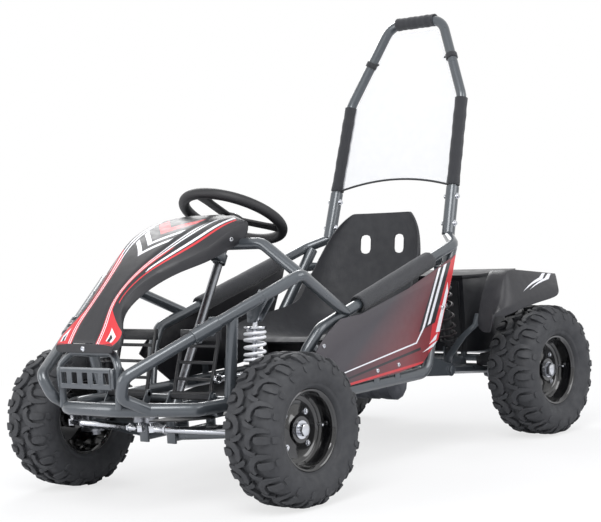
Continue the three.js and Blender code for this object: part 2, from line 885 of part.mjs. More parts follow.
// Tabs on the sill behind the side panel's lower screws
function panelTabs(side) {
  const outer = panelInner() - gap;
  return panelScrews.slice(1, panelTab.screws).map(([y, z]) =>
    sideBlock(side, [outer - panelTab.thickness, y - panelTab.half, spot.sillRear[2]],
      [outer, y + panelTab.half, z + screwRadius]));
}

// Where the column's lower bush stands on it, between the cross members
function lowerBushAlong() {
  return (crossHeight - column.bracket[2]) / columnAxis.z;
}

// The column's lower bush
function columnBush(centre) {
  const bore = column.radius + runningGap;
  return ring(centre, columnAxis, bore + column.bushWall, bore, column.bushLength);
}

// A strap beside the lower bush, from one cross member to the next
function columnStrap(side) {
  const wall = column.radius + runningGap;
  const low = [wall, pedalCrossY, crossHeight - column.bushWall];
  const high = [wall + column.bushWall, rearArmCrossY, crossHeight + column.bushWall];
  return sideBlock(side, low, high);
}

// A point on the line of the brake rod and the master cylinder
function brakeAxisPoint(y) {
  return new THREE.Vector3(brake.x, y, pedalLug().z);
}

// The cylinder with the foot that joins it to the sill
function brakeCylinder() {
  const body = bar(brakeAxisPoint(brake.cylinderFront), brakeAxisPoint(brake.cylinderRear), brake.cylinderRadius);
  const foot = block(
    [brake.x - brake.rodRadius, brake.cylinderFront + brake.cylinderRadius, crossHeight],
    [spot.sillWaist[0] - sillRadius / 2, brake.cylinderRear - brake.cylinderRadius, pedalLug().z],
  );
  return join(body, foot);
}

// The cylinder's bore, open at the front
function brakeBore() {
  const from = brakeAxisPoint(brake.cylinderFront - overrun);
  return drill(from, brakeAxisPoint(brake.cylinderRear - overrun), brake.rodRadius + runningGap, roundSides);
}

// The sill loop with its cross members, hangers, seat stand and pedal ears, all welded
function lowerFrame() {
  const waist = spot.sillWaist[0];
  const flare = spot.sillFlare[0];
  const parts = [sill(), crossTube(waist, pedalCrossY), crossTube(waist, rearArmCrossY)];
  parts.push(crossTube(flare, seatCrossFrontY), crossTube(flare, seatCrossRearY), bowedCross());
  for (const { side } of leftAndRight) {
    parts.push(bar(on(side, spot.postTop), on(side, spot.postFoot), tubeRadius));
    parts.push(...armHangers(side), ...seatStand(side), ...pedalEars(side), ...swingHanger(side));
    parts.push(...shockEars(side), columnStrap(side), ...panelTabs(side));
  }
  const bush = alongColumn(lowerBushAlong());
  parts.push(columnBush(bush), brakeCylinder());
  const shaftHole = drill(dropFoot, bracketPoint, column.radius + runningGap);
  const rails = leftAndRight.map(({ side }) => sideRail(side, gap));
  return piece("lower_frame", cut(join(parts), rails, shaftHole, brakeBore()), finish.frame);
}

// The upper side rail from the nose over its peak to the armrest, with a bolted sleeve and the shock's ears
function upperRail(name, side) {
  const from = on(side, spot.railTipHigh);
  const to = on(side, spot.railPeak);
  const run = to.clone().sub(from);
  const sleeveEnds = coupling.shares.map((share) => from.clone().addScaledVector(run, share));
  const sleeve = bar(...sleeveEnds, tubeRadius + coupling.wall);
  const bolts = coupling.boltShares.map((share) => {
    const middle = sleeveEnds[0].clone().lerp(sleeveEnds[1], share);
    const reach = new THREE.Vector3(0, 0, tubeRadius + coupling.boltReach);
    return bar(middle.clone().sub(reach), middle.clone().add(reach), coupling.boltRadius, thinSides);
  });
  const parts = [sideRail(side), sleeve, ...bolts, ...railEars(side)];
  return piece(`side_rail_${name}`, cut(join(parts), sill(gap), armrestRail(side, gap)), finish.frame);
}

// Two plates under the side rail, across the kart, with the pin of the front shock's upper eye
function railEars(side) {
  const [x, y, z] = frontShock.top;
  const { half, clear, thickness } = clevis;
  const share = (y - spot.railTipHigh[1]) / (spot.railPeak[1] - spot.railTipHigh[1]);
  const onRail = new THREE.Vector3(...spot.railTipHigh).lerp(new THREE.Vector3(...spot.railPeak), share);
  const outline = [
    [x - half, z - half],
    [x + half, z - half],
    [onRail.x + half, onRail.z - half],
    [onRail.x - half, onRail.z + half],
    [x - half, z + half],
  ];
  const near = frontShock.eyeWidth / 2 + clear;
  const far = near + thickness;
  const pin = bar(on(side, [x, y - far, z]), on(side, [x, y + far, z]), frontShock.pinRadius);
  return [crossPlate(side, outline, y + near, y + far), crossPlate(side, outline, y - far, y - near), pin];
}

// The rail under each arm, from the sill up, back along the pad and in to the roll bar
function armrest(name, side) {
  return piece(`armrest_rail_${name}`, cut(armrestRail(side), sill(gap)), finish.frame);
}

// The tube under the dash, with the forked bracket and bush that hold the column
function dashHoop() {
  const bushOuter = column.radius + runningGap + column.bushWall;
  const bush = ring(bracketPoint, columnAxis, bushOuter, column.radius + runningGap, column.bushLength);
  const [, barY, barZ] = spot.dashCorner;
  const forks = leftAndRight.map(({ side }) => {
    const inner = column.radius + runningGap;
    const outline = [
      [barY, barZ - tubeRadius / 2],
      [bracketPoint.y, bracketPoint.z - column.bushLength / 2],
      [bracketPoint.y, bracketPoint.z + column.bushLength / 2],
      [barY, barZ + tubeRadius / 2],
    ];
    return sidePlate(side, outline, inner, inner + column.bushWall);
  });
  const shaftHole = drill(dropFoot, wheelCentre, column.radius + runningGap);
  const rails = leftAndRight.map(({ side }) => sideRail(side, gap));
  return piece("dash_hoop", cut(join(dashTube(), bush, forks), shaftHole, rails), finish.frame);
}

// The hoop and slotted plate in front of the nose
function bumperGuard() {
  const half = (side) => [guard.foot, guard.side, guard.top].map((place) => on(side, place));
  const hoop = tube([...half(1), ...half(-1).reverse()], guard.tubeRadius, tightBend, thinSides);
  const back = guard.plateFront + guard.plateThickness;
  const plate = block([-guard.plateHalf, guard.plateFront, guard.plateLow], [guard.plateHalf, back, guard.plateHigh]);
  const tabs = leftAndRight.map(({ side }) =>
    sideBlock(side, [guard.plateHalf - guard.slotMargin / 2, guard.plateFront, guard.plateLow],
      [guard.foot[0], guard.foot[1], guard.plateHigh]));
  const pitch = (2 * guard.plateHalf) / guard.slots;
  const slots = Array.from({ length: guard.slots }, (_, i) => {
    const middle = -guard.plateHalf + pitch * i + pitch / 2;
    return block([middle - guard.slotHalf, guard.plateFront - overrun, guard.plateLow + guard.slotMargin],
      [middle + guard.slotHalf, back + overrun, guard.plateHigh - guard.slotMargin]);
  });
  return piece("bumper_guard", cut(join(hoop, plate, tabs), slots, sill(gap)), finish.frame);
}

// The floor pan between the sills, open round the steering and the front arms
function floorPan() {
  const front = panHalfFront;
  const outline = [
    [panSlotHalf, panFront],
    [front, panFront + panCorner],
    [spot.sillWaist[0] - sillRadius - panMargin, spot.sillNoseSide[1] + panCorner * 2],
    [spot.sillWaist[0] - sillRadius - panMargin, spot.sillWaist[1]],
    [spot.sillFlare[0] - sillRadius - panMargin, spot.sillFlare[1] + panCorner],
    [spot.sillFlare[0] - sillRadius - panMargin, panRear],
  ];
  const mirrored = outline.map(([x, y]) => [-x, y]).reverse();
  const slot = [[-panSlotHalf, panStep], [panSlotHalf, panStep]];
  const sheetMetal = floorPlate([...outline, ...mirrored, ...slot], panTop - panThickness, panTop);
  const hangers = leftAndRight.flatMap(({ side }) => [
    bar(on(side, spot.armrestFoot), on(side, spot.armrestKnee), tubeRadius + gap),
    sideBlock(side, [swing.hangerX - gap, 0, 0], [spot.sillFlare[0], spot.sillRear[1] + panRear, swing.pivotZ * 2]),
  ]);
  return piece("floor_pan", cut(sheetMetal, sill(gap), hangers), finish.black);
}

// The roll bar, bolted over the ends of the armrest rails
function rollBar() {
  const clamps = leftAndRight.flatMap(({ side }) => {
    const foot = on(side, spot.hoopFoot);
    const rise = on(side, spot.hoopShoulder).sub(foot);
    const out = new THREE.Vector3(1, 0, 0);
    const sleeveEnd = foot.clone().addScaledVector(rise, hoopClamp.sleeveShare);
    const sleeve = bar(foot, sleeveEnd, tubeRadius + hoopClamp.wall);
    const bolts = hoopClamp.shares.map((share) => {
      const middle = foot.clone().addScaledVector(rise, share);
      const reach = out.clone().multiplyScalar(tubeRadius + hoopClamp.reach);
      return bar(middle.clone().sub(reach), middle.clone().add(reach), hoopClamp.radius, screwSides);
    });
    return [sleeve, ...bolts];
  });
  const rails = leftAndRight.map(({ side }) => armrestRail(side, gap));
  return piece("roll_bar", cut(join(hoopTube(), clamps), rails), finish.frame);
}

// A point of the roll bar's own plane: across, and how far up the bar as a height
function hoopPlane(x, height) {
  const [, lowY, lowZ] = spot.hoopFoot;
  const [, topY, topZ] = spot.hoopTop;
  return new THREE.Vector3(x, lowY + ((topY - lowY) * (height - lowZ)) / (topZ - lowZ), height);
}

// How far across the roll bar's own centre line is at a height
function hoopAcross(height) {
  const legs = [spot.hoopFoot, spot.hoopShoulder, spot.hoopTop];
  const leg = height < legs[1][2] ? 0 : 1;
  const share = (height - legs[leg][2]) / (legs[leg + 1][2] - legs[leg][2]);
  return legs[leg][0] + (legs[leg + 1][0] - legs[leg][0]) * share;
}

// The net with its sleeves laced round the roll bar, one sewn piece
function safetyNet() {
  const rowEdge = (row) => {
    const height = net.low + ((net.high - net.low) * row) / net.rows;
    return hoopAcross(height) - (height < net.sleeveTop ? 0 : net.inset);
  };
  const edge = (height) => {
    const at = ((height - net.low) / (net.high - net.low)) * net.rows;
    const row = Math.min(Math.max(Math.floor(at), 0), net.rows - 1);
    return rowEdge(row) + (rowEdge(row + 1) - rowEdge(row)) * (at - row);
  };
  const at = (u, v) => {
    const height = net.low + (net.high - net.low) * v;
    return [edge(height) * (2 * u - 1), height];
  };
  const lines = (count, margin, half) => {
    const list = [0];
    for (let k = 0; k < count; k += 1) {
      const from = margin + ((1 - 2 * margin) * k) / count;
      const to = margin + ((1 - 2 * margin) * (k + 1)) / count;
      list.push(from + half, to - half);
    }
    return [...list, 1];
  };
  const width = 2 * hoopAcross(net.low);
  const height = net.high - net.low;
  const across = lines(net.columns, net.margin / width, net.strand / (2 * width));
  const up = lines(net.rows, net.margin / height, net.strand / (2 * height));
  const point = (u, v, shift) => {
    const [x, z] = at(u, v);
    const place = hoopPlane(x, z);
    return place.setY(place.y + shift);
  };
  const soft = [lattice(across, up, (u, v, face) => point(u, v, face * net.thickness))];
  for (const { side } of leftAndRight) {
    const foot = on(side, spot.hoopFoot);
    const shoulder = on(side, spot.hoopShoulder);
    const along = (height) => foot.clone().lerp(shoulder, (height - foot.z) / (shoulder.z - foot.z));
    soft.push(bar(along(net.low), along(net.sleeveTop), sleeveRadius));
    const top = on(side, spot.hoopTop);
    for (const height of net.straps) {
      const centre = shoulder.clone().lerp(top, (height - shoulder.z) / (top.z - shoulder.z));
      const run = top.clone().sub(shoulder);
      soft.push(ring(centre, run, tubeRadius + net.strapWall, tubeRadius / 2, net.strapLength));
      const hook = hoopPlane(side * (edge(height) - net.margin / 2), height);
      soft.push(bar(centre, hook, net.strapWall, thinSides));
    }
  }
  const [, topY, topZ] = spot.hoopTop;
  const padEnds = [-net.topPad, net.topPad].map((x) => new THREE.Vector3(x, topY, topZ));
  soft.push(bar(...padEnds, sleeveRadius));
  const middleY = hoopPlane(0, net.high).y;
  soft.push(block([-net.topPad, middleY - net.thickness / 2, net.high - net.strand],
    [net.topPad, middleY + net.thickness / 2, topZ]));
  return piece("safety_net", cut(join(soft), hoopTube(gap)), finish.net);
}

// The foam grip round each armrest rail
function armrestPad(name, side) {
  const from = on(side, spot.armrestBend);
  const to = on(side, spot.armrestEnd);
  const share = (y) => (y - from.y) / (to.y - from.y);
  const ends = [pad.front, pad.rear].map((y) => from.clone().lerp(to, share(y)));
  const length = ends[0].distanceTo(ends[1]);
  const middle = ends[0].clone().add(ends[1]).divideScalar(2);
  const foam = ring(middle, to.clone().sub(from), pad.radius, tubeRadius / 2, length, roundSides);
  return piece(`armrest_pad_${name}`, cut(foam, armrestRail(side, gap), sideRail(side, gap)), finish.fabric);
}

// The printed plastic panel outside each sill
function sidePanel(name, side) {
  const inner = panelInner();
  const plate = sidePlate(side, panelOutline, inner, inner + panelThickness);
  const out = new THREE.Vector3(side, 0, 0);
  const screws = panelScrews.map(([y, z]) =>
    hexagon(on(side, [inner + panelThickness / 2, y, z]), out, screwRadius, panelThickness));
  return piece(`side_panel_${name}`, join(plate, screws), finish.panel);
}

// Gives a grid of points a wall of even thickness, measured against its normals.
function thicken(rows, thickness) {
  const inner = rows.map((row, r) => row.map((point, c) => {
    const before = rows[Math.max(r - 1, 0)][c];
    const after = rows[Math.min(r + 1, rows.length - 1)][c];
    const near = row[Math.max(c - 1, 0)];
    const far = row[Math.min(c + 1, row.length - 1)];
    const normal = new THREE.Vector3().crossVectors(after.clone().sub(before), far.clone().sub(near));
    return point.clone().addScaledVector(normal.normalize(), thickness);
  }));
  return sheet(rows, inner);
}

// The long cowl over the nose, open below, with a notch for each side rail
function noseCowl() {
  const rows = cowlStations.map(([along, ridge, shoulder, side, skirt]) => {
    const half = [skirt, side, shoulder].map(([x, z]) => new THREE.Vector3(x, along, z));
    const mirrored = half.map((p) => new THREE.Vector3(-p.x, p.y, p.z)).reverse();
    return [...half, new THREE.Vector3(0, along, ridge), ...mirrored];
  });
  const shell = thicken(rows, -cowlThickness);
  const tools = leftAndRight.map(({ side }) => sideRail(side, gap));
  return piece("nose_cowl", cut(shell, tools, dashTube(gap)), finish.plastic);
}

// The bucket seat: a pan and back with raised wings, two slots and two runners
function seatShell() {
  const rows = seatStations.map(([along, up, half, wing], i) => {
    const [beforeAlong, beforeUp] = seatStations[Math.max(i - 1, 0)];
    const [afterAlong, afterUp] = seatStations[Math.min(i + 1, seatStations.length - 1)];
    const run = new THREE.Vector3(0, afterAlong - beforeAlong, afterUp - beforeUp).normalize();
    const inward = new THREE.Vector3(0, -run.z, run.y);
    return seatAcrossShares.map((share, c) =>
      new THREE.Vector3(share * half, along, up).addScaledVector(inward, wing * seatRiseShares[c]));
  });
  const shell = thicken(rows, seatThickness);
  const [backAlong] = seatStations.at(-1);
  const slots = leftAndRight.map(({ side }) =>
    sideBlock(side, [seatSlot.inner, backAlong - seatSlot.reach, seatSlot.low],
      [seatSlot.outer, backAlong + seatSlot.reach, seatSlot.high]));
  const [front, rear] = [seatCrossFrontY, seatCrossRearY + seatRail.margin];
  const under = [front, ...seatStations.map(([along]) => along).filter((y) => y > front && y < rear), rear];
  const outline = [[front, seatRail.high + gap], [rear, seatRail.high + gap]];
  outline.push(...under.reverse().map((y) => [y, seatHeight(y) + seatThickness / 2]));
  const runners = leftAndRight.map(({ side }) =>
    sidePlate(side, outline, seatRail.x - seatRail.half, seatRail.x + seatRail.half));
  return piece("seat_shell", cut(join(shell, runners), slots), finish.seat);
}

// The height of the seat's middle at a place along its pan
function seatHeight(y) {
  const next = seatStations.findIndex(([along]) => along > y);
  const [y0, z0] = seatStations[next - 1];
  const [y1, z1] = seatStations[next];
  return z0 + ((z1 - z0) * (y - y0)) / (y1 - y0);
}

// A tube through points with their own directions, for a wound wire.
class StepPath extends BentPath {
  constructor(points, tangents) {
    super([points[0], points.at(-1)], 0);
    this.points = points;
    this.tangents = tangents;
  }
}

// A wound spring between two points: curls of a helix, with straight ends that meet the collars square.
function wound(name, from, to, shock, look) {
  const axis = to.clone().sub(from);
  const length = axis.length();
  axis.normalize();
  const across = new THREE.Vector3(0, 1, 0).cross(axis).normalize();
  const third = new THREE.Vector3().crossVectors(axis, across);
  const { springRadius, wireRadius, curls } = shock;
  const straight = 2 * wireRadius;
  const rise = length - 2 * straight;
  const steps = Math.round(curls * curlSteps);
  const spoke = (angle) => across.clone().multiplyScalar(Math.cos(angle)).addScaledVector(third, Math.sin(angle));
  const at = (along, angle) => from.clone().addScaledVector(axis, along).addScaledVector(spoke(angle), springRadius);
  const points = [at(0, 0)];
  const tangents = [axis.clone()];
  for (let i = 0; i <= steps; i += 1) {
    const angle = (2 * Math.PI * i) / curlSteps;
    points.push(at(straight + (rise * i) / steps, angle));
    const turn = spoke(angle + Math.PI / 2).multiplyScalar(springRadius * 2 * Math.PI * curls);
    tangents.push(turn.addScaledVector(axis, rise).normalize());
  }
  points.push(at(length, (2 * Math.PI * steps) / curlSteps));
  tangents.push(axis.clone());
  const path = new StepPath(points, tangents);
  const options = { steps: points.length - 1, extrudePath: path, bevelEnabled: false };
  const wire = solid(new THREE.ExtrudeGeometry(polygon(wireSides, wireRadius), options));
  let least = Infinity;
  points.forEach((a, i) => points.slice(i + curlSteps / 2).forEach((b) => {
    least = Math.min(least, a.distanceTo(b) - 2 * wireRadius);
  }));
  console.log(`${name}: least gap between curls ${least.toFixed(1)} mm`);
  return piece(name, wire, look);
}

// A shock absorber in three pieces: the rod with its top eye, the body with its foot, and the spring
function shockAbsorber(prefix, name, side, shock, pinDirection, springLook) {
  const top = on(side, shock.top);
  const foot = on(side, shock.foot);
  const down = foot.clone().sub(top);
  const length = down.length();
  down.normalize();
  const at = (share, extra = 0) => top.clone().addScaledVector(down, share * length + extra);
  const neck = (shock.eyeRadius + shock.eyeBore) / 2;
  const shoulder = clevis.half * clevis.shoulderShare;
  const eye = (centre, bore) => ring(centre, pinDirection, shock.eyeRadius, bore, shock.eyeWidth);
  const collar = (share) =>
    bar(at(share, -shock.collarThickness / 2), at(share, shock.collarThickness / 2), shock.collarRadius, roundSides);
  const shaft = bar(at(0, neck), at(shock.rodEndShare), shock.rodRadius, thinSides);
  const rod = join(eye(top, shock.pinRadius + gap), shaft, collar(shock.collarTopShare));
  const barrel = bar(at(shock.bodyTopShare), at(1, -shoulder), shock.bodyRadius);
  const stem = bar(at(1, -shoulder - clevis.half), at(1, -neck), shock.eyeWidth / 2, thinSides);
  const bore = drill(at(shock.bodyTopShare, -overrun), at(shock.boreEndShare), shock.rodRadius + runningGap);
  const body = cut(join(eye(foot, shock.eyeBore), barrel, stem, collar(shock.collarLowShare)), bore);
  const edge = shock.collarThickness / 2 + gap;
  const springName = `${prefix}_spring_${name}`;
  return {
    rod: piece(`${prefix}_shock_rod_${name}`, rod, finish.chrome),
    body: piece(`${prefix}_shock_body_${name}`, body, finish.black),
    spring: wound(springName, at(shock.collarTopShare, edge), at(shock.collarLowShare, -edge), shock, springLook),
  };
}

// The steering shaft with its drop arm and the two sockets that push the tie rods
function steeringColumn() {
  const top = wheelCentre.clone().addScaledVector(columnAxis, -column.hubDepth - gap);
  const shaft = bar(dropFoot.clone().addScaledVector(columnAxis, -dropArm.thickness), top, column.radius, tubeSides);
  const socketInner = tieRod.pinRadius + tieRod.socketClear;
  const socketOuter = socketInner + tieRod.socketWall;
  const sockets = leftAndRight.map(({ side }) => {
    const middle = new THREE.Vector3(side * tieRod.innerX, tieRod.innerY, (tieRod.socketLow + tieRod.pinTop) / 2);
    return bar(middle.clone().setZ(tieRod.socketLow), middle.clone().setZ(tieRod.pinTop), socketOuter, roundSides);
  });
  const bores = leftAndRight.map(({ side }) =>
    drill(new THREE.Vector3(side * tieRod.innerX, tieRod.innerY, tieRod.socketLow - overrun),
      new THREE.Vector3(side * tieRod.innerX, tieRod.innerY, tieRod.pinTop + overrun), socketInner, roundSides));
  const reach = socketMiddle.clone().sub(dropFoot);
  const length = reach.length() - socketInner;
  const lever = new THREE.BoxGeometry(dropArm.width, length, dropArm.thickness).translate(0, length / 2, 0);
  const across = new THREE.Vector3(1, 0, 0);
  const turn = new THREE.Matrix4().makeBasis(across, reach.normalize(), across.clone().cross(reach));
  lever.applyMatrix4(turn.setPosition(dropFoot));
  return piece("steering_column", cut(join(shaft, solid(lever), sockets), bores), finish.steel);
}

// The wheel: a thick rim, three broad spokes and a dished hub
function wheel() {
  const { radius, grip, spokeWidth, spokeThickness, spokes } = steeringWheel;
  const hoop = new THREE.TorusGeometry(radius, grip, thinSides, roundSides * 2);
  const hub = new THREE.CylinderGeometry(column.hubRadius, column.hubRadius, column.hubDepth, roundSides);
  hub.rotateX(Math.PI / 2).translate(0, 0, -column.hubDepth / 2);
  const parts = [solid(hoop), solid(hub)];
  for (let i = 0; i < spokes; i += 1) {
    const spoke = new THREE.BoxGeometry(spokeWidth, radius, spokeThickness);
    spoke.translate(0, radius / 2, -spokeThickness);
    spoke.rotateZ(Math.PI + (2 * Math.PI * i) / spokes);
    parts.push(solid(spoke));
  }
  const made = piece("steering_wheel", join(parts), finish.rubber);
  made.position.copy(wheelCentre);
  made.rotation.x = -Math.atan2(column.leanY, column.leanZ);
  return made;
}

// An A-arm: a hinge bush under the floor, two legs, the kingpin sleeve and the shock's clevis
function frontArm(name, side) {
  const hinge = (y) => on(side, [arm.pivotX, y, arm.height]);
  const bush = bar(hinge(arm.front), hinge(arm.rear), arm.bushRadius);
  const bore = drill(hinge(arm.front - overrun), hinge(arm.rear + overrun), arm.pinRadius + runningGap);
  const endX = kingpin.x - kingpin.sleeveRadius / 2;
  const sleeveMiddle = (kingpin.sleeveLow + kingpin.sleeveHigh) / 2;
  const legs = [arm.front + arm.bushRadius, arm.rear - arm.bushRadius].map((y) => {
    const endY = axleFrontY + (y - axleFrontY) * arm.endShare;
    return bar(hinge(y), on(side, [endX, endY, sleeveMiddle - arm.bushRadius / 2]), arm.legRadius);
  });
  const sleeve = bar(on(side, [kingpin.x, axleFrontY, kingpin.sleeveLow]),
    on(side, [kingpin.x, axleFrontY, kingpin.sleeveHigh]), kingpin.sleeveRadius, roundSides);
  const pinHole = drill(on(side, [kingpin.x, axleFrontY, 0]), on(side, [kingpin.x, axleFrontY, axleHeight * 2]),
    kingpin.radius + runningGap);
  const [footX, footY, footZ] = frontShock.foot;
  const ears = clevisAt(side, frontShock.foot, frontShock, "along", arm.height - footZ);
  const far = frontShock.eyeWidth / 2 + clevis.clear + clevis.thickness;
  const perch = sideBlock(side, [footX - clevis.half, footY - far, arm.height - arm.legRadius / 2],
    [footX + clevis.half, footY + far, arm.height + arm.legRadius / 2]);
  const room = new THREE.Vector3(0, frontShock.eyeWidth / 2 + clevis.clear, 0);
  const eyeEnds = [on(side, frontShock.foot).sub(room), on(side, frontShock.foot).add(room)];
  const eyeRoom = bar(...eyeEnds, frontShock.eyeRadius + clevis.clear);
  const pin = bar(...eyeEnds, frontShock.pinRadius);
  const body = cut(join(bush, legs, sleeve, ears, perch), eyeRoom, bore, pinHole);
  return piece(`a_arm_${name}`, join(body, pin), finish.frame);
}

// A steering knuckle: a fork round the sleeve, the kingpin, the stub axle and the steering arm
function knuckle(name, side) {
  const pinLow = kingpin.sleeveLow - gap - kingpin.plate;
  const pinHigh = kingpin.sleeveHigh + gap + kingpin.plate;
  const at = (x, y, z) => on(side, [x, y, z]);
  const plates = [pinLow, pinHigh - kingpin.plate].map((low) => join(
    bar(at(kingpin.x, axleFrontY, low), at(kingpin.x, axleFrontY, low + kingpin.plate), kingpin.plateRadius, roundSides),
    sideBlock(side, [kingpin.x, axleFrontY - kingpin.webHalf, low],
      [kingpin.webX + kingpin.webThickness, axleFrontY + kingpin.webHalf, low + kingpin.plate]),
  ));
  const web = sideBlock(side, [kingpin.webX, axleFrontY - kingpin.webHalf, pinLow],
    [kingpin.webX + kingpin.webThickness, axleFrontY + kingpin.webHalf, pinHigh]);
  const pin = bar(at(kingpin.x, axleFrontY, pinLow), at(kingpin.x, axleFrontY, pinHigh), kingpin.radius);
  const down = new THREE.Vector3(0, 0, -1);
  const nut = hexagon(at(kingpin.x, axleFrontY, pinLow), down, kingpin.nutRadius, kingpin.nutHeight);
  const stubEnd = frontTrack / 2 + rim.hubOuter + gap;
  const hubFace = frontTrack / 2 + rim.hubInner - gap;
  const onStub = (x) => at(x, axleFrontY, axleHeight);
  const stub = bar(onStub(kingpin.webX), onStub(stubEnd + wheelNut.height), stubRadius);
  const collar = bar(onStub(hubFace - wheelNut.collar), onStub(hubFace), wheelNut.collarRadius);
  const cap = hexagon(onStub(stubEnd), new THREE.Vector3(side, 0, 0), wheelNut.radius, wheelNut.height);
  const lever = sideBlock(side, [kingpin.x - tieRod.pinRadius * 2, knuckleBallY, pinHigh - kingpin.plate],
    [kingpin.x + tieRod.pinRadius * 2, axleFrontY, pinHigh]);
  const onEye = (z) => at(kingpin.x, knuckleBallY, z);
  const boss = bar(onEye(pinHigh - kingpin.plate), onEye(pinHigh), tieRod.pinRadius * 2);
  const eye = drill(onEye(0), onEye(pinHigh * 2), tieRod.pinRadius + runningGap, roundSides);
  const body = join(plates, web, pin, nut, stub, collar, cap, lever, boss);
  return piece(`knuckle_${name}`, cut(body, eye), finish.steel);
}

// A tie rod with an upright pin at each end and lock nuts by its ends
function tieRodPiece(name, side) {
  const outer = on(side, [kingpin.x, knuckleBallY, tieRod.height]);
  const inner = on(side, [tieRod.innerX, tieRod.innerY, tieRod.height]);
  const run = outer.clone().sub(inner);
  const up = (point, radius, top) => bar(point, point.clone().setZ(top), radius, roundSides);
  const pinHigh = kingpin.sleeveHigh + gap + kingpin.plate;
  const nuts = tieRod.nutShares.map((share) => {
    const foot = inner.clone().addScaledVector(run, share);
    return hexagon(foot, run.clone().normalize(), tieRod.nutRadius, tieRod.pinRadius);
  });
  const heads = [inner, outer].map((point) => {
    const ends = [-tieRod.radius, tieRod.radius].map((shift) => point.clone().setZ(tieRod.height + shift));
    return bar(...ends, tieRod.headRadius);
  });
  const parts = [bar(inner, outer, tieRod.radius, tubeSides), up(inner, tieRod.pinRadius, tieRod.pinTop),
    up(outer, tieRod.pinRadius, pinHigh), ...nuts, ...heads];
  return piece(`tie_rod_${name}`, join(parts), finish.chrome);
}

// A knobbly tyre, hollow and open to the rim: lugs stand in two rows that are half a pitch apart
function tyreBody() {
  const carcass = tyre.radius - tyre.lug;
  const steps = tyre.pitches * tyre.stepsPerPitch;
  const stepAngle = (2 * Math.PI) / steps;
  const lugTop = tyre.radius / Math.cos(stepAngle / 2);
  const half = tyre.width / 2;
  const bead = tyre.beadRadius / Math.cos(stepAngle / 2);
  const lip = (rim.flangeRadius + gap) / Math.cos(stepAngle / 2);
  const sections = [];
  for (let s = 0; s < steps; s += 1) {
    const phase = s % tyre.stepsPerPitch;
    const left = phase < 2 ? lugTop : carcass;
    const right = phase > 0 ? lugTop : carcass;
    const shoulder = (row) => (row > carcass ? tyre.shoulderLug : 0);
    const outline = [
      [-tyre.beadHalf, bead],
      [-tyre.beadHalf, lip],
      [-half, tyre.bulgeRadius],
      [-half + tyre.shoulderIn - shoulder(left) / 2, carcass - tyre.shoulderDrop + shoulder(left)],
      [-tyre.treadHalf, left],
      [-tyre.grooveHalf, left],
      [tyre.grooveHalf, right],
      [tyre.treadHalf, right],
      [half - tyre.shoulderIn + shoulder(right) / 2, carcass - tyre.shoulderDrop + shoulder(right)],
      [half, tyre.bulgeRadius],
      [tyre.beadHalf, lip],
      [tyre.beadHalf, bead],
      [tyre.beadHalf - tyre.toe, bead],
      [tyre.treadHalf, carcass - tyre.wall],
      [-tyre.treadHalf, carcass - tyre.wall],
      [-tyre.beadHalf + tyre.toe, bead],
    ];
    const angle = -Math.PI / 2 + s * stepAngle - stepAngle / 2;
    sections.push(outline.map(([x, r]) => new THREE.Vector3(x, r * Math.cos(angle), r * Math.sin(angle))));
  }
  return closedRing(sections);
}

// A deep pressed-steel rim with a dished disc and a hub
function rimBody(bore) {
  const seat = tyre.beadRadius - gap;
  const inside = seat - rim.wall;
  const flange = rim.flangeHalf - rim.wall;
  const hole = bore / Math.cos(Math.PI / rim.segments);
  const profile = [
    [seat, -flange],
    [seat, flange],
    [rim.flangeRadius, flange],
    [rim.flangeRadius, rim.flangeHalf],
    [inside, rim.flangeHalf],
    [inside, rim.discX + rim.wall * 2],
    [rim.hubRadius, rim.discX],
    [rim.hubRadius, rim.hubOuter],
    [hole, rim.hubOuter],
    [hole, rim.hubInner],
    [rim.hubRadius, rim.hubInner],
    [inside, rim.discX + rim.wall],
    [inside, -rim.flangeHalf],
    [rim.flangeRadius, -rim.flangeHalf],
    [rim.flangeRadius, -flange],
    [seat, -flange],
  ];
  return turned(profile, new THREE.Vector3(), new THREE.Vector3(1, 0, 0), rim.segments);
}

// A wheel as a group of its tyre and rim, turned round on the right side
function wheelGroup(end, name, side, centre, bore) {
  const group = new THREE.Group();
  group.add(piece(`${end}_tyre_${name}`, tyreBody(), finish.rubber));
  group.add(piece(`${end}_rim_${name}`, rimBody(bore), finish.rim));
  group.position.copy(on(side, centre));
  group.rotation.z = side > 0 ? 0 : Math.PI;
  return group;
}

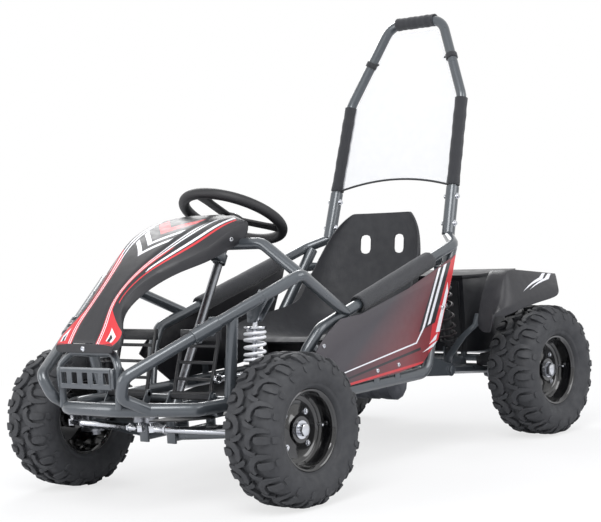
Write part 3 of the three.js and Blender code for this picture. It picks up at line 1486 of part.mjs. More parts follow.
// The swing arm: pivot tube, two side tubes, bearing housings, cross tubes, shock ears and stays
function swingArm() {
  const { pivotY, pivotZ, hangerX, sideX, sideRadius, crossY, crossZ, housingRadius, housingWidth } = swing;
  const pivotHalf = hangerX - gap;
  const across = (y, z, half, radius) =>
    bar(new THREE.Vector3(-half, y, z), new THREE.Vector3(half, y, z), radius);
  const parts = [across(pivotY, pivotZ, pivotHalf, swing.pivotRadius)];
  const { boxCrossY, boxCrossZ, boxCrossRadius, tailY } = swing;
  parts.push(across(crossY, crossZ, sideX, sideRadius), motorPlate());
  parts.push(...[boxCrossY, tailY].map((y) => across(y, boxCrossZ, sideX, boxCrossRadius)));
  const bearings = [-frontTrack, frontTrack].map((x) => new THREE.Vector3(x, axleRearY, axleHeight));
  const tools = [drill(...bearings, swing.bearingRadius)];
  const sideways = new THREE.Vector3(1, 0, 0);
  for (const { side } of leftAndRight) {
    const housing = on(side, [sideX, axleRearY, axleHeight]);
    parts.push(bar(on(side, [sideX, pivotY, pivotZ]), housing, sideRadius));
    parts.push(tube([housing, on(side, [sideX, tailY, boxCrossZ])], sideRadius - runningGap));
    parts.push(ring(housing, sideways, housingRadius, swing.bearingRadius / 2, housingWidth));
    parts.push(...clevisAt(side, rearShock.foot, rearShock, "across", crossZ - rearShock.foot[2]));
    parts.push(strapPlate(side), fenderStayTube(side));
    for (const y of [boxCrossY, tailY]) {
      const ends = [boxCrossZ, box.low - gap].map((z) => on(side, [postAcross(), y, z]));
      parts.push(bar(...ends, box.postRadius, thinSides));
    }
    tools.push(drill(on(side, [hangerX - swing.pivotRadius - gap, pivotY, pivotZ]),
      on(side, [hangerX + overrun, pivotY, pivotZ]), swing.pinRadius + runningGap));
  }
  return piece("swing_arm", cut(join(parts), tools), finish.frame);
}

// How far along the rear face of the fender's flap lies at a height
function flapBack(z) {
  const [lowY, lowZ] = fender.flapLow;
  const [highY, highZ] = fender.flapTop;
  const run = Math.hypot(highY - lowY, highZ - lowZ);
  return lowY + ((z - lowZ) * (highY - lowY)) / (highZ - lowZ) + ((fender.wall + gap) * run) / (highZ - lowZ);
}

// The flat stay from the swing arm's side tube up behind the fender's flap
function strapPlate(side) {
  const places = [...strapRows, ...strapTopHeights.map((z) => [strapTopAcross, flapBack(z), z])];
  const grid = (shift) => places.map(([x, y, z]) =>
    [x - strapHalf, x + strapHalf].map((edge) => on(side, [edge, y + shift, z])));
  return sheet(grid(0), grid(strapThickness));
}

// The round stay under the rear of the fender
function fenderStayTube(side) {
  const [frontY, frontZ] = fender.flapTop;
  const [rearY, rearZ] = fender.topRear;
  const top = frontZ + ((fenderStay.y - frontY) * (rearZ - frontZ)) / (rearY - frontY);
  const height = top - fenderStay.drop - fenderStay.radius;
  const foot = [swing.sideX, fenderStay.y, swing.boxCrossZ - swing.sideRadius / 2];
  const corners = [foot, [fenderStay.kneeX, fenderStay.y, height], [fenderStay.topX, fenderStay.y, height]];
  return tube(corners.map((place) => on(side, place)), fenderStay.radius, tightBend, thinSides);
}

// The plate that holds the motor under the cross tube, with a hole for its shaft
function motorPlate() {
  const { y, z, radius } = motor;
  const low = radius * Math.SQRT1_2;
  const outline = [
    [y - radius, z],
    [y - low, z - low],
    [y + low, z - low],
    [y + radius, z],
    [swing.boxCrossY, swing.boxCrossZ],
    [swing.crossY, swing.crossZ],
    [swing.crossY - swing.sideRadius, swing.crossZ - swing.sideRadius / 2],
  ];
  const inner = -motor.outer + gap;
  const plate = sidePlate(-1, outline, inner, inner + swing.hangerThickness);
  const holeEnds = [overrun, -overrun * 2].map((shift) => new THREE.Vector3(shift - inner, y, z));
  const hole = drill(...holeEnds, motor.shaft + runningGap);
  return cut(plate, hole);
}

// The motor: a finned drum with end bells and a shaft
function motorBody() {
  const { y, z, radius, inner, outer, shaft } = motor;
  const at = (x) => new THREE.Vector3(x, y, z);
  const drum = bar(at(inner), at(outer), radius, discSides);
  const step = (inner - outer) / (motor.fins + 1);
  const grooves = Array.from({ length: motor.fins }, (_, i) => {
    const x = inner - step * (i + 1);
    const along = new THREE.Vector3(1, 0, 0);
    return ring(at(x), along, radius + overrun, radius - motor.finDepth, step / 2, discSides);
  });
  const stub = bar(at(outer), at(outer - motor.shaftReach), shaft, tubeSides);
  return piece("motor", cut(join(cut(drum, grooves), stub), swingCrossTool()), finish.motor);
}

// Room for the swing arm's cross tube
function swingCrossTool() {
  const { crossY, crossZ, sideX, sideRadius } = swing;
  return bar(new THREE.Vector3(-sideX, crossY, crossZ), new THREE.Vector3(sideX, crossY, crossZ), sideRadius + gap);
}

// A sprocket whose blunt teeth point at the chain's line
function sprocket(name, x, y, z, teeth, bore, hubRadius) {
  const pitchRadius = chain.pitch / (2 * Math.sin(Math.PI / teeth));
  const tip = pitchRadius - chain.pinRadius - runningGap;
  const root = tip - chain.pitch * chain.toothShare;
  const points = [];
  for (let i = 0; i < teeth; i += 1) {
    const angle = (2 * Math.PI * i) / teeth;
    const half = Math.PI / teeth;
    const { rootShare, tipShare } = chain;
    points.push([root, angle - half * rootShare], [tip, angle - half * tipShare]);
    points.push([tip, angle + half * tipShare], [root, angle + half * rootShare]);
  }
  const outline = points.map(([r, angle]) => [y + r * Math.cos(angle), z + r * Math.sin(angle)]);
  const plate = sidePlate(-1, outline, -x - sprocketThickness / 2, -x + sprocketThickness / 2);
  const at = (shift) => new THREE.Vector3(x + shift, y, z);
  const hub = bar(at(chain.hubLength), at(-sprocketThickness / 2), hubRadius);
  const hole = drill(at(-overrun), at(chain.hubLength + overrun), bore + gap);
  return piece(name, cut(join(plate, hub), hole), finish.steel);
}

// The chain: two rows of waisted side plates joined by a pin at each link, in one loop
function driveChain() {
  const radius = (teeth) => chain.pitch / (2 * Math.sin(Math.PI / teeth));
  const big = { y: axleRearY, z: axleHeight, r: radius(chain.axleTeeth) };
  const small = { y: motor.y, z: motor.z, r: radius(chain.motorTeeth) };
  const run = Math.hypot(big.y - small.y, big.z - small.z);
  const lean = Math.atan2(big.z - small.z, big.y - small.y);
  const slope = Math.asin((big.r - small.r) / run);
  const straight = run * Math.cos(slope);
  const bigArc = big.r * (Math.PI + 2 * slope);
  const smallArc = small.r * (Math.PI - 2 * slope);
  const total = 2 * straight + bigArc + smallArc;
  const links = Math.round(total / chain.pitch);
  const at = (distance, offset) => {
    let d = ((distance % total) + total) % total;
    const arc = ({ y, z, r }, angle) => [y + (r + offset) * Math.cos(angle), z + (r + offset) * Math.sin(angle)];
    const start = lean - Math.PI / 2 - slope;
    if (d < bigArc) return arc(big, start + d / big.r);
    d -= bigArc;
    const top = start + bigArc / big.r;
    const mix = (a, b, t) => [a[0] + (b[0] - a[0]) * t, a[1] + (b[1] - a[1]) * t];
    if (d < straight) return mix(arc(big, top), arc(small, top), d / straight);
    d -= straight;
    if (d < smallArc) return arc(small, top + d / small.r);
    d -= smallArc;
    return mix(arc(small, start), arc(big, start), d / straight);
  };
  const step = total / links;
  const edge = (sign) => {
    const list = [];
    for (let i = 0; i < links; i += 1) {
      list.push(at(i * step, sign * chain.plateHalf));
      list.push(at(i * step + step / 2, sign * chain.plateHalf * chain.waistShare));
    }
    return list;
  };
  const shape = new THREE.Shape(edge(1).map(([y, z]) => new THREE.Vector2(y, z)));
  shape.holes.push(new THREE.Path(edge(-1).map(([y, z]) => new THREE.Vector2(y, z))));
  const flat = new THREE.ExtrudeGeometry(shape, { depth: chain.plate, bevelEnabled: false });
  const plateAt = (x) => {
    const turn = new THREE.Matrix4().set(0, 0, 1, x, 1, 0, 0, 0, 0, 1, 0, 0, 0, 0, 0, 1);
    return solid(flat.clone().applyMatrix4(turn));
  };
  const half = chain.innerWidth / 2;
  const reach = half + chain.plate / 2;
  const pins = Array.from({ length: links }, (_, i) => {
    const [y, z] = at(i * step, 0);
    const ends = [-reach, reach].map((shift) => new THREE.Vector3(chain.x + shift, y, z));
    return bar(...ends, chain.pinRadius, chain.pinSides);
  });
  return piece("drive_chain", join(plateAt(chain.x - half - chain.plate), plateAt(chain.x + half), pins), finish.steel);
}

// The solid rear axle with its hub flanges and end nuts
function rearAxle() {
  const half = rearTrack / 2;
  const at = (x) => new THREE.Vector3(x, axleRearY, axleHeight);
  const end = half + rim.hubOuter + gap;
  const parts = [bar(at(-end - wheelNut.height), at(end + wheelNut.height), axle.radius, tubeSides)];
  for (const { side } of leftAndRight) {
    const face = half + rim.hubInner - gap;
    parts.push(bar(at(side * (face - axle.flangeWidth)), at(side * face), axle.flangeRadius, roundSides));
    parts.push(hexagon(at(side * end), new THREE.Vector3(side, 0, 0), axle.nutRadius, wheelNut.height));
  }
  return piece("rear_axle", join(parts), finish.steel);
}

// The brake disc with its carrier and a ring of vents
function brakeDisc() {
  const at = (x) => new THREE.Vector3(x, axleRearY, axleHeight);
  const half = disc.thickness / 2;
  const plate = bar(at(disc.x - half), at(disc.x + half), disc.radius, discSides);
  const hub = bar(at(disc.x - disc.hubLength), at(disc.x + half), disc.bore);
  const hole = drill(at(disc.x - disc.hubLength - overrun), at(disc.x + overrun), axle.radius + gap);
  const vents = Array.from({ length: disc.vents }, (_, i) => {
    const angle = (2 * Math.PI * i) / disc.vents;
    const middle = disc.bore + (disc.radius - disc.bore) / 2;
    const y = axleRearY + middle * Math.cos(angle);
    const z = axleHeight + middle * Math.sin(angle);
    const ends = [-overrun, overrun].map((shift) => new THREE.Vector3(disc.x + shift, y, z));
    return bar(...ends, disc.ventRadius, screwSides);
  });
  return piece("brake_disc", cut(join(plate, hub), hole, vents), finish.steel);
}

// The brake caliper, astride the disc on its foot on the swing arm
function brakeCaliper() {
  const { y, z, half, halfHeight, width } = caliper;
  const body = block([disc.x - width / 2, y - half, z - halfHeight], [disc.x + width / 2, y + half, z + halfHeight]);
  const foot = block([swing.sideX, y - half / 2, z - halfHeight], [disc.x - width / 4, y + half / 2, z + halfHeight / 2]);
  const slot = drill(new THREE.Vector3(disc.x - disc.thickness, axleRearY, axleHeight),
    new THREE.Vector3(disc.x + disc.thickness, axleRearY, axleHeight), disc.radius + caliper.clear, discSides);
  const sideTube = bar(on(1, [swing.sideX, swing.pivotY, swing.pivotZ]),
    on(1, [swing.sideX, axleRearY, axleHeight]), swing.sideRadius + gap);
  return piece("brake_caliper", cut(join(body, foot), slot, sideTube), finish.black);
}

// How far across the posts under the box stand, and the ribs on its front
function postAcross() {
  return box.half - box.postInset;
}

// The battery box's plan with chamfered front corners, drawn in by a wall
function boxOutline(inset) {
  const x = box.half - inset;
  const front = box.front + inset;
  const rear = box.rear - inset;
  const drop = inset * (Math.SQRT2 - 1);
  const right = [[x, rear], [x, front + box.chamferY + drop - inset], [x - box.chamferX - drop + inset, front]];
  return [...right, ...right.map(([across, along]) => [-across, along]).reverse()];
}
function batteryBox() {
  const shell = floorPlate(boxOutline(0), box.low, box.high);
  const hollow = floorPlate(boxOutline(box.wall), box.low + box.wall, box.high + overrun);
  const ribs = leftAndRight.map(({ side }) =>
    sideBlock(side, [postAcross() - box.wall, box.front - box.wall / 2, box.low],
      [postAcross() + box.wall, box.front + box.wall / 2, box.high - box.lidThickness]));
  const inner = box.hingeHalf / 2 + gap;
  const knuckles = leftAndRight.map(({ side }) => hingeKnuckle(side * box.hingeHalf, side * inner));
  const pin = bar(hingePoint(-box.hingeHalf), hingePoint(box.hingeHalf), box.hingeRadius / 2);
  const leaf = leftAndRight.map(({ side }) =>
    sideBlock(side, [inner, box.rear - box.wall, box.high - box.lidThickness * 2],
      [box.hingeHalf, hingePoint(0).y + box.hingeRadius / 2, box.high - box.wall]));
  return piece("battery_box", join(cut(shell, hollow), ribs, knuckles, leaf, pin), finish.black);
}

// A point on the lid's hinge line
function hingePoint(x) {
  return new THREE.Vector3(x, box.rear + box.hingeRadius + box.wall, box.high);
}

// One knuckle of the hinge
function hingeKnuckle(from, to) {
  return bar(hingePoint(from), hingePoint(to), box.hingeRadius);
}

// The lid: a plate with a lip, a hasp at the front and the middle knuckle of its hinge
function batteryLid() {
  const low = box.high + gap;
  const plate = floorPlate(boxOutline(-box.wall), low, low + box.lidThickness);
  const half = box.hingeHalf / 2;
  const middleKnuckle = hingeKnuckle(-half, half);
  const leaf = block([-half, box.rear, low], [half, hingePoint(0).y, low + box.hingeRadius]);
  const hasp = block([-box.hingeRadius * 2, box.front - box.wall * 3, box.high - box.hingeRadius * 4],
    [box.hingeRadius * 2, box.front - box.wall, low + box.lidThickness]);
  const pinEnds = [hingePoint(-box.hingeHalf), hingePoint(box.hingeHalf)];
  const pinHole = drill(...pinEnds, box.hingeRadius / 2 + runningGap);
  const corners = leftAndRight.map(({ side }) => {
    const ends = [half + gap / 2, box.hingeHalf + gap].map((x) => hingePoint(side * x));
    return bar(...ends, box.hingeRadius + runningGap);
  });
  return piece("battery_lid", cut(join(plate, middleKnuckle, leaf, hasp), pinHole, corners), finish.black);
}

// The battery pack standing on the box's floor
function batteryPack() {
  const inset = box.wall + box.packMargin;
  const low = box.low + box.wall + gap;
  const cells = floorPlate(boxOutline(inset), low, low + box.packHeight);
  const strapAt = block([-box.half + inset, box.rear - inset - box.chamferX, low + box.packHeight - gap],
    [box.half - inset, box.rear - inset, low + box.packHeight + box.strapHeight]);
  return piece("battery_pack", join(cells, strapAt), finish.pack);
}

// A fender: front flap, sloping top, flared side and a lower band with an arched edge
function fenderShell(name, side) {
  const { inner, topOuter, crease } = fender;
  const mix = (a, b, t) => [a[0] + (b[0] - a[0]) * t, a[1] + (b[1] - a[1]) * t];
  const topMiddle = mix(fender.flapTop, fender.topRear, 1 / 2);
  const { flapLow, flapTop, topRear, creaseFront, creaseMiddle, creaseRear } = fender;
  const { bandFront, bandMiddle, bandRear, outShares } = fender;
  const [frontShare, rearShare] = fender.roundShares;
  const [earlyShare, lateShare, backShare] = fender.lowShares;
  const front = (share) => [mix(creaseFront, creaseMiddle, share), mix(bandFront, bandMiddle, share)];
  const stations = [
    [flapLow, creaseFront, bandFront],
    [mix(flapLow, flapTop, frontShare), ...front(earlyShare)],
    [mix(flapTop, topRear, rearShare), ...front(lateShare)],
    [topMiddle, mix(creaseMiddle, creaseRear, backShare), mix(bandMiddle, bandRear, backShare)],
    [topRear, creaseRear, bandRear],
  ];
  const rows = stations.map(([top, fold, band], i) => {
    const out = outShares[i];
    const reach = topOuter + (crease - topOuter) * out;
    const places = [[inner, ...top], [topOuter, ...top], [reach, ...fold], [reach + fender.wall, ...band]];
    return places.map((place) => on(side, place));
  });
  const shell = thicken(rows, side * fender.wall);
  const headAt = on(side, [strapTopAcross, flapBack(fenderBolt.z) - fender.wall - gap, fenderBolt.z]);
  const slope = new THREE.Vector3(0, fender.flapTop[0] - fender.flapLow[0], fender.flapTop[1] - fender.flapLow[1]);
  const out = new THREE.Vector3(0, -slope.z, slope.y).normalize();
  return piece(`fender_${name}`, join(shell, hexagon(headAt, out, fenderBolt.radius, fenderBolt.height)), finish.plastic);
}

// The height and place on the brake pedal where the brake rod is pinned
function pedalLug() {
  const y = pedal.pivotY + (pedal.topY - pedal.pivotY) * pedal.lugShare;
  const z = pedal.pivotZ + (pedal.topZ - pedal.pivotZ) * pedal.lugShare;
  return new THREE.Vector3(pedal.outer, y, z);
}

// A ladder pedal: hub, two rails, rungs and a foot plate; the brake's also has a lug for its rod
function pedalPiece(name, side, withLug) {
  const { inner, outer, pivotY, pivotZ, topY, topZ, hubRadius, pinRadius, railRadius, rungs, rungRadius } = pedal;
  const foot = (x) => on(side, [x, pivotY, pivotZ]);
  const top = (x) => on(side, [x, topY, topZ]);
  const rails = [inner + railRadius, outer - railRadius].map((x) => bar(foot(x), top(x), railRadius, thinSides));
  const rungBars = Array.from({ length: rungs }, (_, i) => {
    const share = (i + 1) / (rungs + 1);
    const ends = [inner + railRadius, outer - railRadius].map((x) => foot(x).lerp(top(x), share));
    return bar(...ends, rungRadius, thinSides);
  });
  const hub = bar(foot(inner), foot(outer), hubRadius);
  const bore = drill(foot(inner - overrun), foot(outer + overrun), pinRadius + runningGap);
  const plate = sideBlock(side, [inner, topY - pedal.padThickness, topZ - pedal.padHeight], [outer, topY, topZ]);
  const parts = [...rails, ...rungBars, hub, plate];
  if (withLug) {
    const lug = pedalLug();
    const ends = [outer - railRadius, brake.x + brake.eyeWidth].map((x) => lug.clone().setX(x));
    parts.push(bar(...ends, brake.rodRadius));
  }
  return piece(name, cut(join(parts), bore), finish.black);
}

// The brake rod, with an eye round the pedal's lug and its rear end in the master cylinder
function brakeRod() {
  const across = new THREE.Vector3(1, 0, 0);
  const eye = ring(brakeAxisPoint(pedalLug().y), across, brake.eyeRadius, brake.eyeBore, brake.eyeWidth);
  const neck = brakeAxisPoint(pedalLug().y + (brake.eyeRadius + brake.eyeBore) / 2);
  const rod = bar(neck, brakeAxisPoint(brake.rodRear), brake.rodRadius, roundSides);
  return piece("brake_rod", join(eye, rod), finish.chrome);
}

// The kart as a scene: the chassis, the steering, both ends' suspension and the rear unit
const chassis = new THREE.Group();
chassis.add(lowerFrame(), dashHoop(), bumperGuard(), floorPan(), rollBar(), safetyNet(), noseCowl(), seatShell());
const steering = new THREE.Group();
steering.add(steeringColumn(), wheel());
const pedals = new THREE.Group();
pedals.add(pedalPiece("brake_pedal", 1, true), pedalPiece("throttle_pedal", -1, false), brakeRod());
const frontEnd = new THREE.Group();
const rearUnit = new THREE.Group();
rearUnit.add(swingArm(), motorBody(), driveChain(), rearAxle(), brakeDisc(), brakeCaliper());
rearUnit.add(batteryBox(), batteryLid(), batteryPack());
rearUnit.add(sprocket("axle_sprocket", chain.x, axleRearY, axleHeight, chain.axleTeeth, axle.radius, disc.bore));
rearUnit.add(sprocket("motor_sprocket", chain.x, motor.y, motor.z, chain.motorTeeth, motor.shaft, chain.motorHub));
for (const { name, side } of leftAndRight) {
  chassis.add(upperRail(name, side), armrest(name, side), armrestPad(name, side), sidePanel(name, side));
  frontEnd.add(frontArm(name, side), knuckle(name, side), tieRodPiece(name, side));
  frontEnd.add(wheelGroup("front", name, side, [frontTrack / 2, axleFrontY, axleHeight], stubRadius + runningGap));
  rearUnit.add(wheelGroup("rear", name, side, [rearTrack / 2, axleRearY, axleHeight], axle.radius + gap));
  rearUnit.add(fenderShell(name, side));
  const front = shockAbsorber("front", name, side, frontShock, new THREE.Vector3(0, 1, 0), finish.spring);
  const rear = shockAbsorber("rear", name, side, rearShock, new THREE.Vector3(1, 0, 0), finish.darkSpring);
  chassis.add(front.rod, rear.rod, front.spring, rear.spring);
  frontEnd.add(front.body);
  rearUnit.add(rear.body);
}

const kart = new THREE.Group();
kart.add(chassis, steering, pedals, frontEnd, rearUnit);
kart.position.y = centreShift;

export default kart;
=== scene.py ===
"""Dresses an electric off-road go-kart: tube frame, knobbly tyres, cowl, seat, net and printed panels.

Places are millimetres from the ground at mid-wheelbase, as the maker's drawing has them: across, along and up.
The kart drives towards -Y, and its left side is +X.
"""
import json
import math

import bmesh
import bpy
from bpy.props import FloatProperty, FloatVectorProperty, IntProperty
from mathutils import Matrix, Vector

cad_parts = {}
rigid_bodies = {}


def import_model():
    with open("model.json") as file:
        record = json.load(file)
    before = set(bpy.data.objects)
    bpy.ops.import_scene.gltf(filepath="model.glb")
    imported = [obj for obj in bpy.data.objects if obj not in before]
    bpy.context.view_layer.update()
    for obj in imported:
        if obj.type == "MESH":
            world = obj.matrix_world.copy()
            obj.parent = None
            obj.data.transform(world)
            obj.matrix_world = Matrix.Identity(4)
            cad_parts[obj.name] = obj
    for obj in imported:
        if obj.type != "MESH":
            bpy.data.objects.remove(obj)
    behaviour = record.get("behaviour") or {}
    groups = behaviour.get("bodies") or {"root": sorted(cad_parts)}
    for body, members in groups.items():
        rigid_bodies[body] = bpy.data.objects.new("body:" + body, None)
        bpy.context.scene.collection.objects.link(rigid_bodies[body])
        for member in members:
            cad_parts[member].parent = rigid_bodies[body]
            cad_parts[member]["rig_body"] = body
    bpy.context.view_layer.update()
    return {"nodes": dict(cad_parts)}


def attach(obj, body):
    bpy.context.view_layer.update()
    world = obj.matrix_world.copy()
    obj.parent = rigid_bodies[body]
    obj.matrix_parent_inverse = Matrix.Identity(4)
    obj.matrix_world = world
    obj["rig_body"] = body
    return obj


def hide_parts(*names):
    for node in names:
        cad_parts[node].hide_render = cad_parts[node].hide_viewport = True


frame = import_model()

bl_info = {
    "name": "Off-road kart",
    "version": (1, 0, 0),
    "blender": (4, 5, 0),
    "location": "View3D > Sidebar > Kart",
    "description": "Models the visible pieces of an electric off-road kart over its CAD frame",
    "category": "Add Mesh",
}

# The drawing's origin lies this far behind the middle of the finished kart, in millimetres
FORWARD_SHIFT = 63.75
SIDES = (("left", 1), ("right", -1))
MM = 0.001
UP = Vector((0, 0, 1))
ACROSS = Vector((1, 0, 0))

# Corners of the frame tubes on the left side
SILL = [(82, -797, 250), (207, -664, 236), (213, -338, 230), (280, -214, 221), (280, 122, 221), (276, 160, 312),
        (246, 322, 538)]
SIDE_RAIL = [(134, -744, 244), (116, -812, 280), (138, -820, 328), (330, -412, 523), (276, -191, 409)]
ARMREST = [(238, -372, 232), (262, -330, 334), (275, -290, 382), (265, 306, 542), (210, 360, 566)]
ROLL_BAR = [(210, 360, 566), (196, 487, 947), (90, 566, 1174)]
DASH = [(322, -402, 518), (206, -402, 598)]
NOSE_GUARD = [(93, -798, 252), (98, -796, 350), (70, -782, 378)]
DASH_POST = [(252, -572, 442), (213, -560, 236)]
COLUMN_BRACKET = (0, -332, 559)
COLUMN_LEAN = Vector((0, 0.498, 0.867)).normalized()
CROSS_HEIGHT = 221.3


def colour(red, green, blue):
    """A colour written as it looks on a screen, 0 to 255, in the values that a shader takes."""
    return tuple((c / 255 / 12.92) if c / 255 <= 0.04045 else ((c / 255 + 0.055) / 1.055) ** 2.4
                 for c in (red, green, blue))


class KartFrameSettings(bpy.types.PropertyGroup):
    """Tubes of the frame."""
    tube_radius: FloatProperty(name="Tube radius", description="Radius of the rails and the roll bar",
                               default=0.014, unit="LENGTH")
    sill_radius: FloatProperty(name="Sill radius", description="Radius of the two sills", default=0.016, unit="LENGTH")
    cross_radius: FloatProperty(name="Cross tube radius", description="Radius of the cross members", default=0.012,
                                unit="LENGTH")
    bend: FloatProperty(name="Bend radius", description="Centre line radius of the bends", default=0.045,
                        unit="LENGTH")
    tight_bend: FloatProperty(name="Tight bend radius", description="Centre line radius at the nose", default=0.026,
                              unit="LENGTH")
    paint: FloatVectorProperty(name="Frame paint", description="Colour of the gloss frame paint", subtype="COLOR",
                               default=colour(74, 79, 84))


class KartWheelSettings(bpy.types.PropertyGroup):
    """Tyres and rims."""
    tyre_radius: FloatProperty(name="Tyre radius", description="Radius over the lugs", default=0.1775, unit="LENGTH")
    lug_height: FloatProperty(name="Lug height", description="Depth of the tread", default=0.009, unit="LENGTH")
    pitches: IntProperty(name="Tread pitches", description="Number of times the tread pattern repeats", default=18)
    rubber: FloatVectorProperty(name="Rubber", description="Colour of the tyres", subtype="COLOR",
                                default=colour(50, 51, 54))
    rim_paint: FloatVectorProperty(name="Rim paint", description="Colour of the rims", subtype="COLOR",
                                   default=colour(12, 12, 14))


class KartBodySettings(bpy.types.PropertyGroup):
    """Cowl, panels, seat and fenders."""
    black: FloatVectorProperty(name="Body black", description="Colour of the moulded plastic", subtype="COLOR",
                               default=colour(34, 34, 38))
    grey: FloatVectorProperty(name="Panel grey", description="Darker part of the printed panels", subtype="COLOR",
                              default=colour(58, 54, 60))
    red: FloatVectorProperty(name="Stripe red", description="Colour of the red stripes", subtype="COLOR",
                             default=colour(205, 52, 58))
    white: FloatVectorProperty(name="Stripe white", description="Colour of the white stripes", subtype="COLOR",
                               default=colour(236, 236, 240))
    seat: FloatVectorProperty(name="Seat", description="Colour of the moulded seat", subtype="COLOR",
                              default=colour(40, 41, 45))


class KartSoftSettings(bpy.types.PropertyGroup):
    """Foam grips, sleeves and net."""
    pad_radius: FloatProperty(name="Grip radius", description="Radius of the foam grips", default=0.0235,
                              unit="LENGTH")
    sleeve_radius: FloatProperty(name="Sleeve radius", description="Radius of the roll bar's sleeves", default=0.019,
                                 unit="LENGTH")
    fabric: FloatVectorProperty(name="Fabric", description="Colour of the woven covers", subtype="COLOR",
                                default=colour(42, 43, 47))
    net: FloatVectorProperty(name="Net", description="Colour of the net", subtype="COLOR",
                             default=colour(240, 241, 244))


# Finding a place


def place(across, along, up):
    """A place of the drawing as a point of the kart, in metres."""
    return Vector((across, along + FORWARD_SHIFT, up)) * MM


def on(side, spot):
    """A place of the left side, on the side asked for."""
    across, along, up = spot
    return place(side * across, along, up)


def both_sides(corners):
    """Places from the left side's corners on to the right side's, in turned order."""
    return [on(1, spot) for spot in corners] + [on(-1, spot) for spot in corners[::-1]]


def up_column(distance):
    """A point on the steering column, its distance in millimetres from the bracket."""
    return place(*COLUMN_BRACKET) + COLUMN_LEAN * distance * MM


# Shaping meshes


def deselect():
    for obj in bpy.context.selected_objects:
        obj.select_set(False)


def activate(obj):
    deselect()
    obj.select_set(True)
    bpy.context.view_layer.objects.active = obj


def settle(obj):
    """Moves an object's place into its mesh."""
    obj.data.transform(obj.matrix_basis)
    obj.matrix_basis = Matrix.Identity(4)
    return obj


def edit(obj, *steps):
    """Runs edit mode steps on the whole of a mesh."""
    activate(obj)
    bpy.ops.object.mode_set(mode="EDIT")
    select_all()
    for step in steps:
        step()
    bpy.ops.object.mode_set(mode="OBJECT")
    return obj


def select_all():
    bpy.ops.mesh.select_all(action="SELECT")


def weld():
    bpy.ops.mesh.remove_doubles(threshold=1e-6)


def face_outwards():
    bpy.ops.mesh.normals_make_consistent(inside=False)


def modify(obj, kind, **values):
    """Adds a modifier and applies it."""
    activate(obj)
    modifier = obj.modifiers.new(kind.title(), kind)
    for name, value in values.items():
        setattr(modifier, name, value)
    bpy.ops.object.modifier_apply(modifier=modifier.name)
    return obj


def rounded(obj, width, segments=2):
    """Rounds the sharp edges of a closed piece."""
    return modify(obj, "BEVEL", width=width, segments=segments, limit_method="ANGLE", angle_limit=0.6)


def smooth(obj, degrees=40):
    activate(obj)
    bpy.ops.object.shade_smooth_by_angle(angle=math.radians(degrees))
    return obj


def join(parts):
    """Joins objects into the first one."""
    deselect()
    for part in parts:
        part.select_set(True)
    bpy.context.view_layer.objects.active = parts[0]
    if len(parts) > 1:
        bpy.ops.object.join()
    return parts[0]


def copied(obj, matrix=None):
    """A copy with its own mesh, moved by a matrix."""
    twin = obj.copy()
    twin.data = obj.data.copy()
    bpy.context.scene.collection.objects.link(twin)
    if matrix is not None:
        twin.data.transform(matrix)
        if matrix.determinant() < 0:
            twin.data.flip_normals()
    return twin


def mirrored(obj):
    return copied(obj, Matrix.Scale(-1, 4, ACROSS))


def stood(obj, foot, direction):
    """Turns a mesh that stands on the origin along +Z to stand on a foot along a direction."""
    turn = UP.rotation_difference(direction).to_matrix().to_4x4()
    obj.data.transform(Matrix.Translation(foot) @ turn)
    return obj


def linked(data):
    """The object of a mesh, curve, lamp or camera, put in the scene."""
    obj = bpy.data.objects.new(data.name, data)
    bpy.context.scene.collection.objects.link(obj)
    return obj


def meshed(points, edges=(), faces=()):
    mesh = bpy.data.meshes.new("shape")
    mesh.from_pydata([tuple(p) for p in points], edges, faces)
    return linked(mesh)


def turned(profile, centre, axis, steps=40, closed=False):
    """Spins a profile of radius and height pairs, in metres, round an axis."""
    axis = Vector(axis).normalized()
    across = axis.orthogonal().normalized()
    edges = [(i, i + 1) for i in range(len(profile) - 1)] + ([(len(profile) - 1, 0)] if closed else [])
    obj = meshed([centre + across * radius + axis * height for radius, height in profile], edges)
    return edit(obj, lambda: bpy.ops.mesh.spin(steps=steps, angle=2 * math.pi, center=centre, axis=axis),
                select_all, weld, face_outwards)


def bent_line(corners, bend, step=math.radians(9)):
    """Points along straight runs with round bends between them."""
    points = [corners[0]]
    for before, corner, after in zip(corners, corners[1:], corners[2:]):
        back, ahead = before - corner, after - corner
        reach = min(back.length, ahead.length) / 2
        back, ahead = back.normalized(), ahead.normalized()
        half = back.angle(ahead) / 2
        setback = min(bend / math.tan(half), reach)
        centre = corner + (back + ahead).normalized() * (setback / math.cos(half))
        spoke = corner + back * setback - centre
        sweep = math.pi - 2 * half
        steps = max(2, round(sweep / step))
        axis = ahead.cross(back).normalized()
        points += [centre + Matrix.Rotation(sweep * i / steps, 3, axis) @ spoke for i in range(steps + 1)]
    return points + [corners[-1]]


def swept(points, radius, sides=24, closed=False):
    """A round bar along points."""
    curve = bpy.data.curves.new("bar", "CURVE")
    curve.dimensions = "3D"
    curve.bevel_depth = radius
    curve.bevel_resolution = (sides - 4) // 2
    curve.use_fill_caps = not closed
    spline = curve.splines.new("POLY")
    spline.points.add(len(points) - 1)
    for point, spot in zip(spline.points, points):
        point.co = (*spot, 1)
    spline.use_cyclic_u = closed
    activate(linked(curve))
    bpy.ops.object.convert(target="MESH")
    return smooth(edit(bpy.context.object, weld, face_outwards), 50)


def tube(corners, radius, bend=0.045, sides=24):
    return swept(bent_line(corners, bend), radius, sides)


def rod(start, end, radius, sides=24, edge=0.0006):
    """A straight round bar with eased ends."""
    direction = end - start
    length = direction.length
    profile = [(0, 0), (radius - edge, 0), (radius, edge), (radius, length - edge), (radius - edge, length),
               (0, length)]
    return smooth(turned(profile, start, direction, sides), 50)


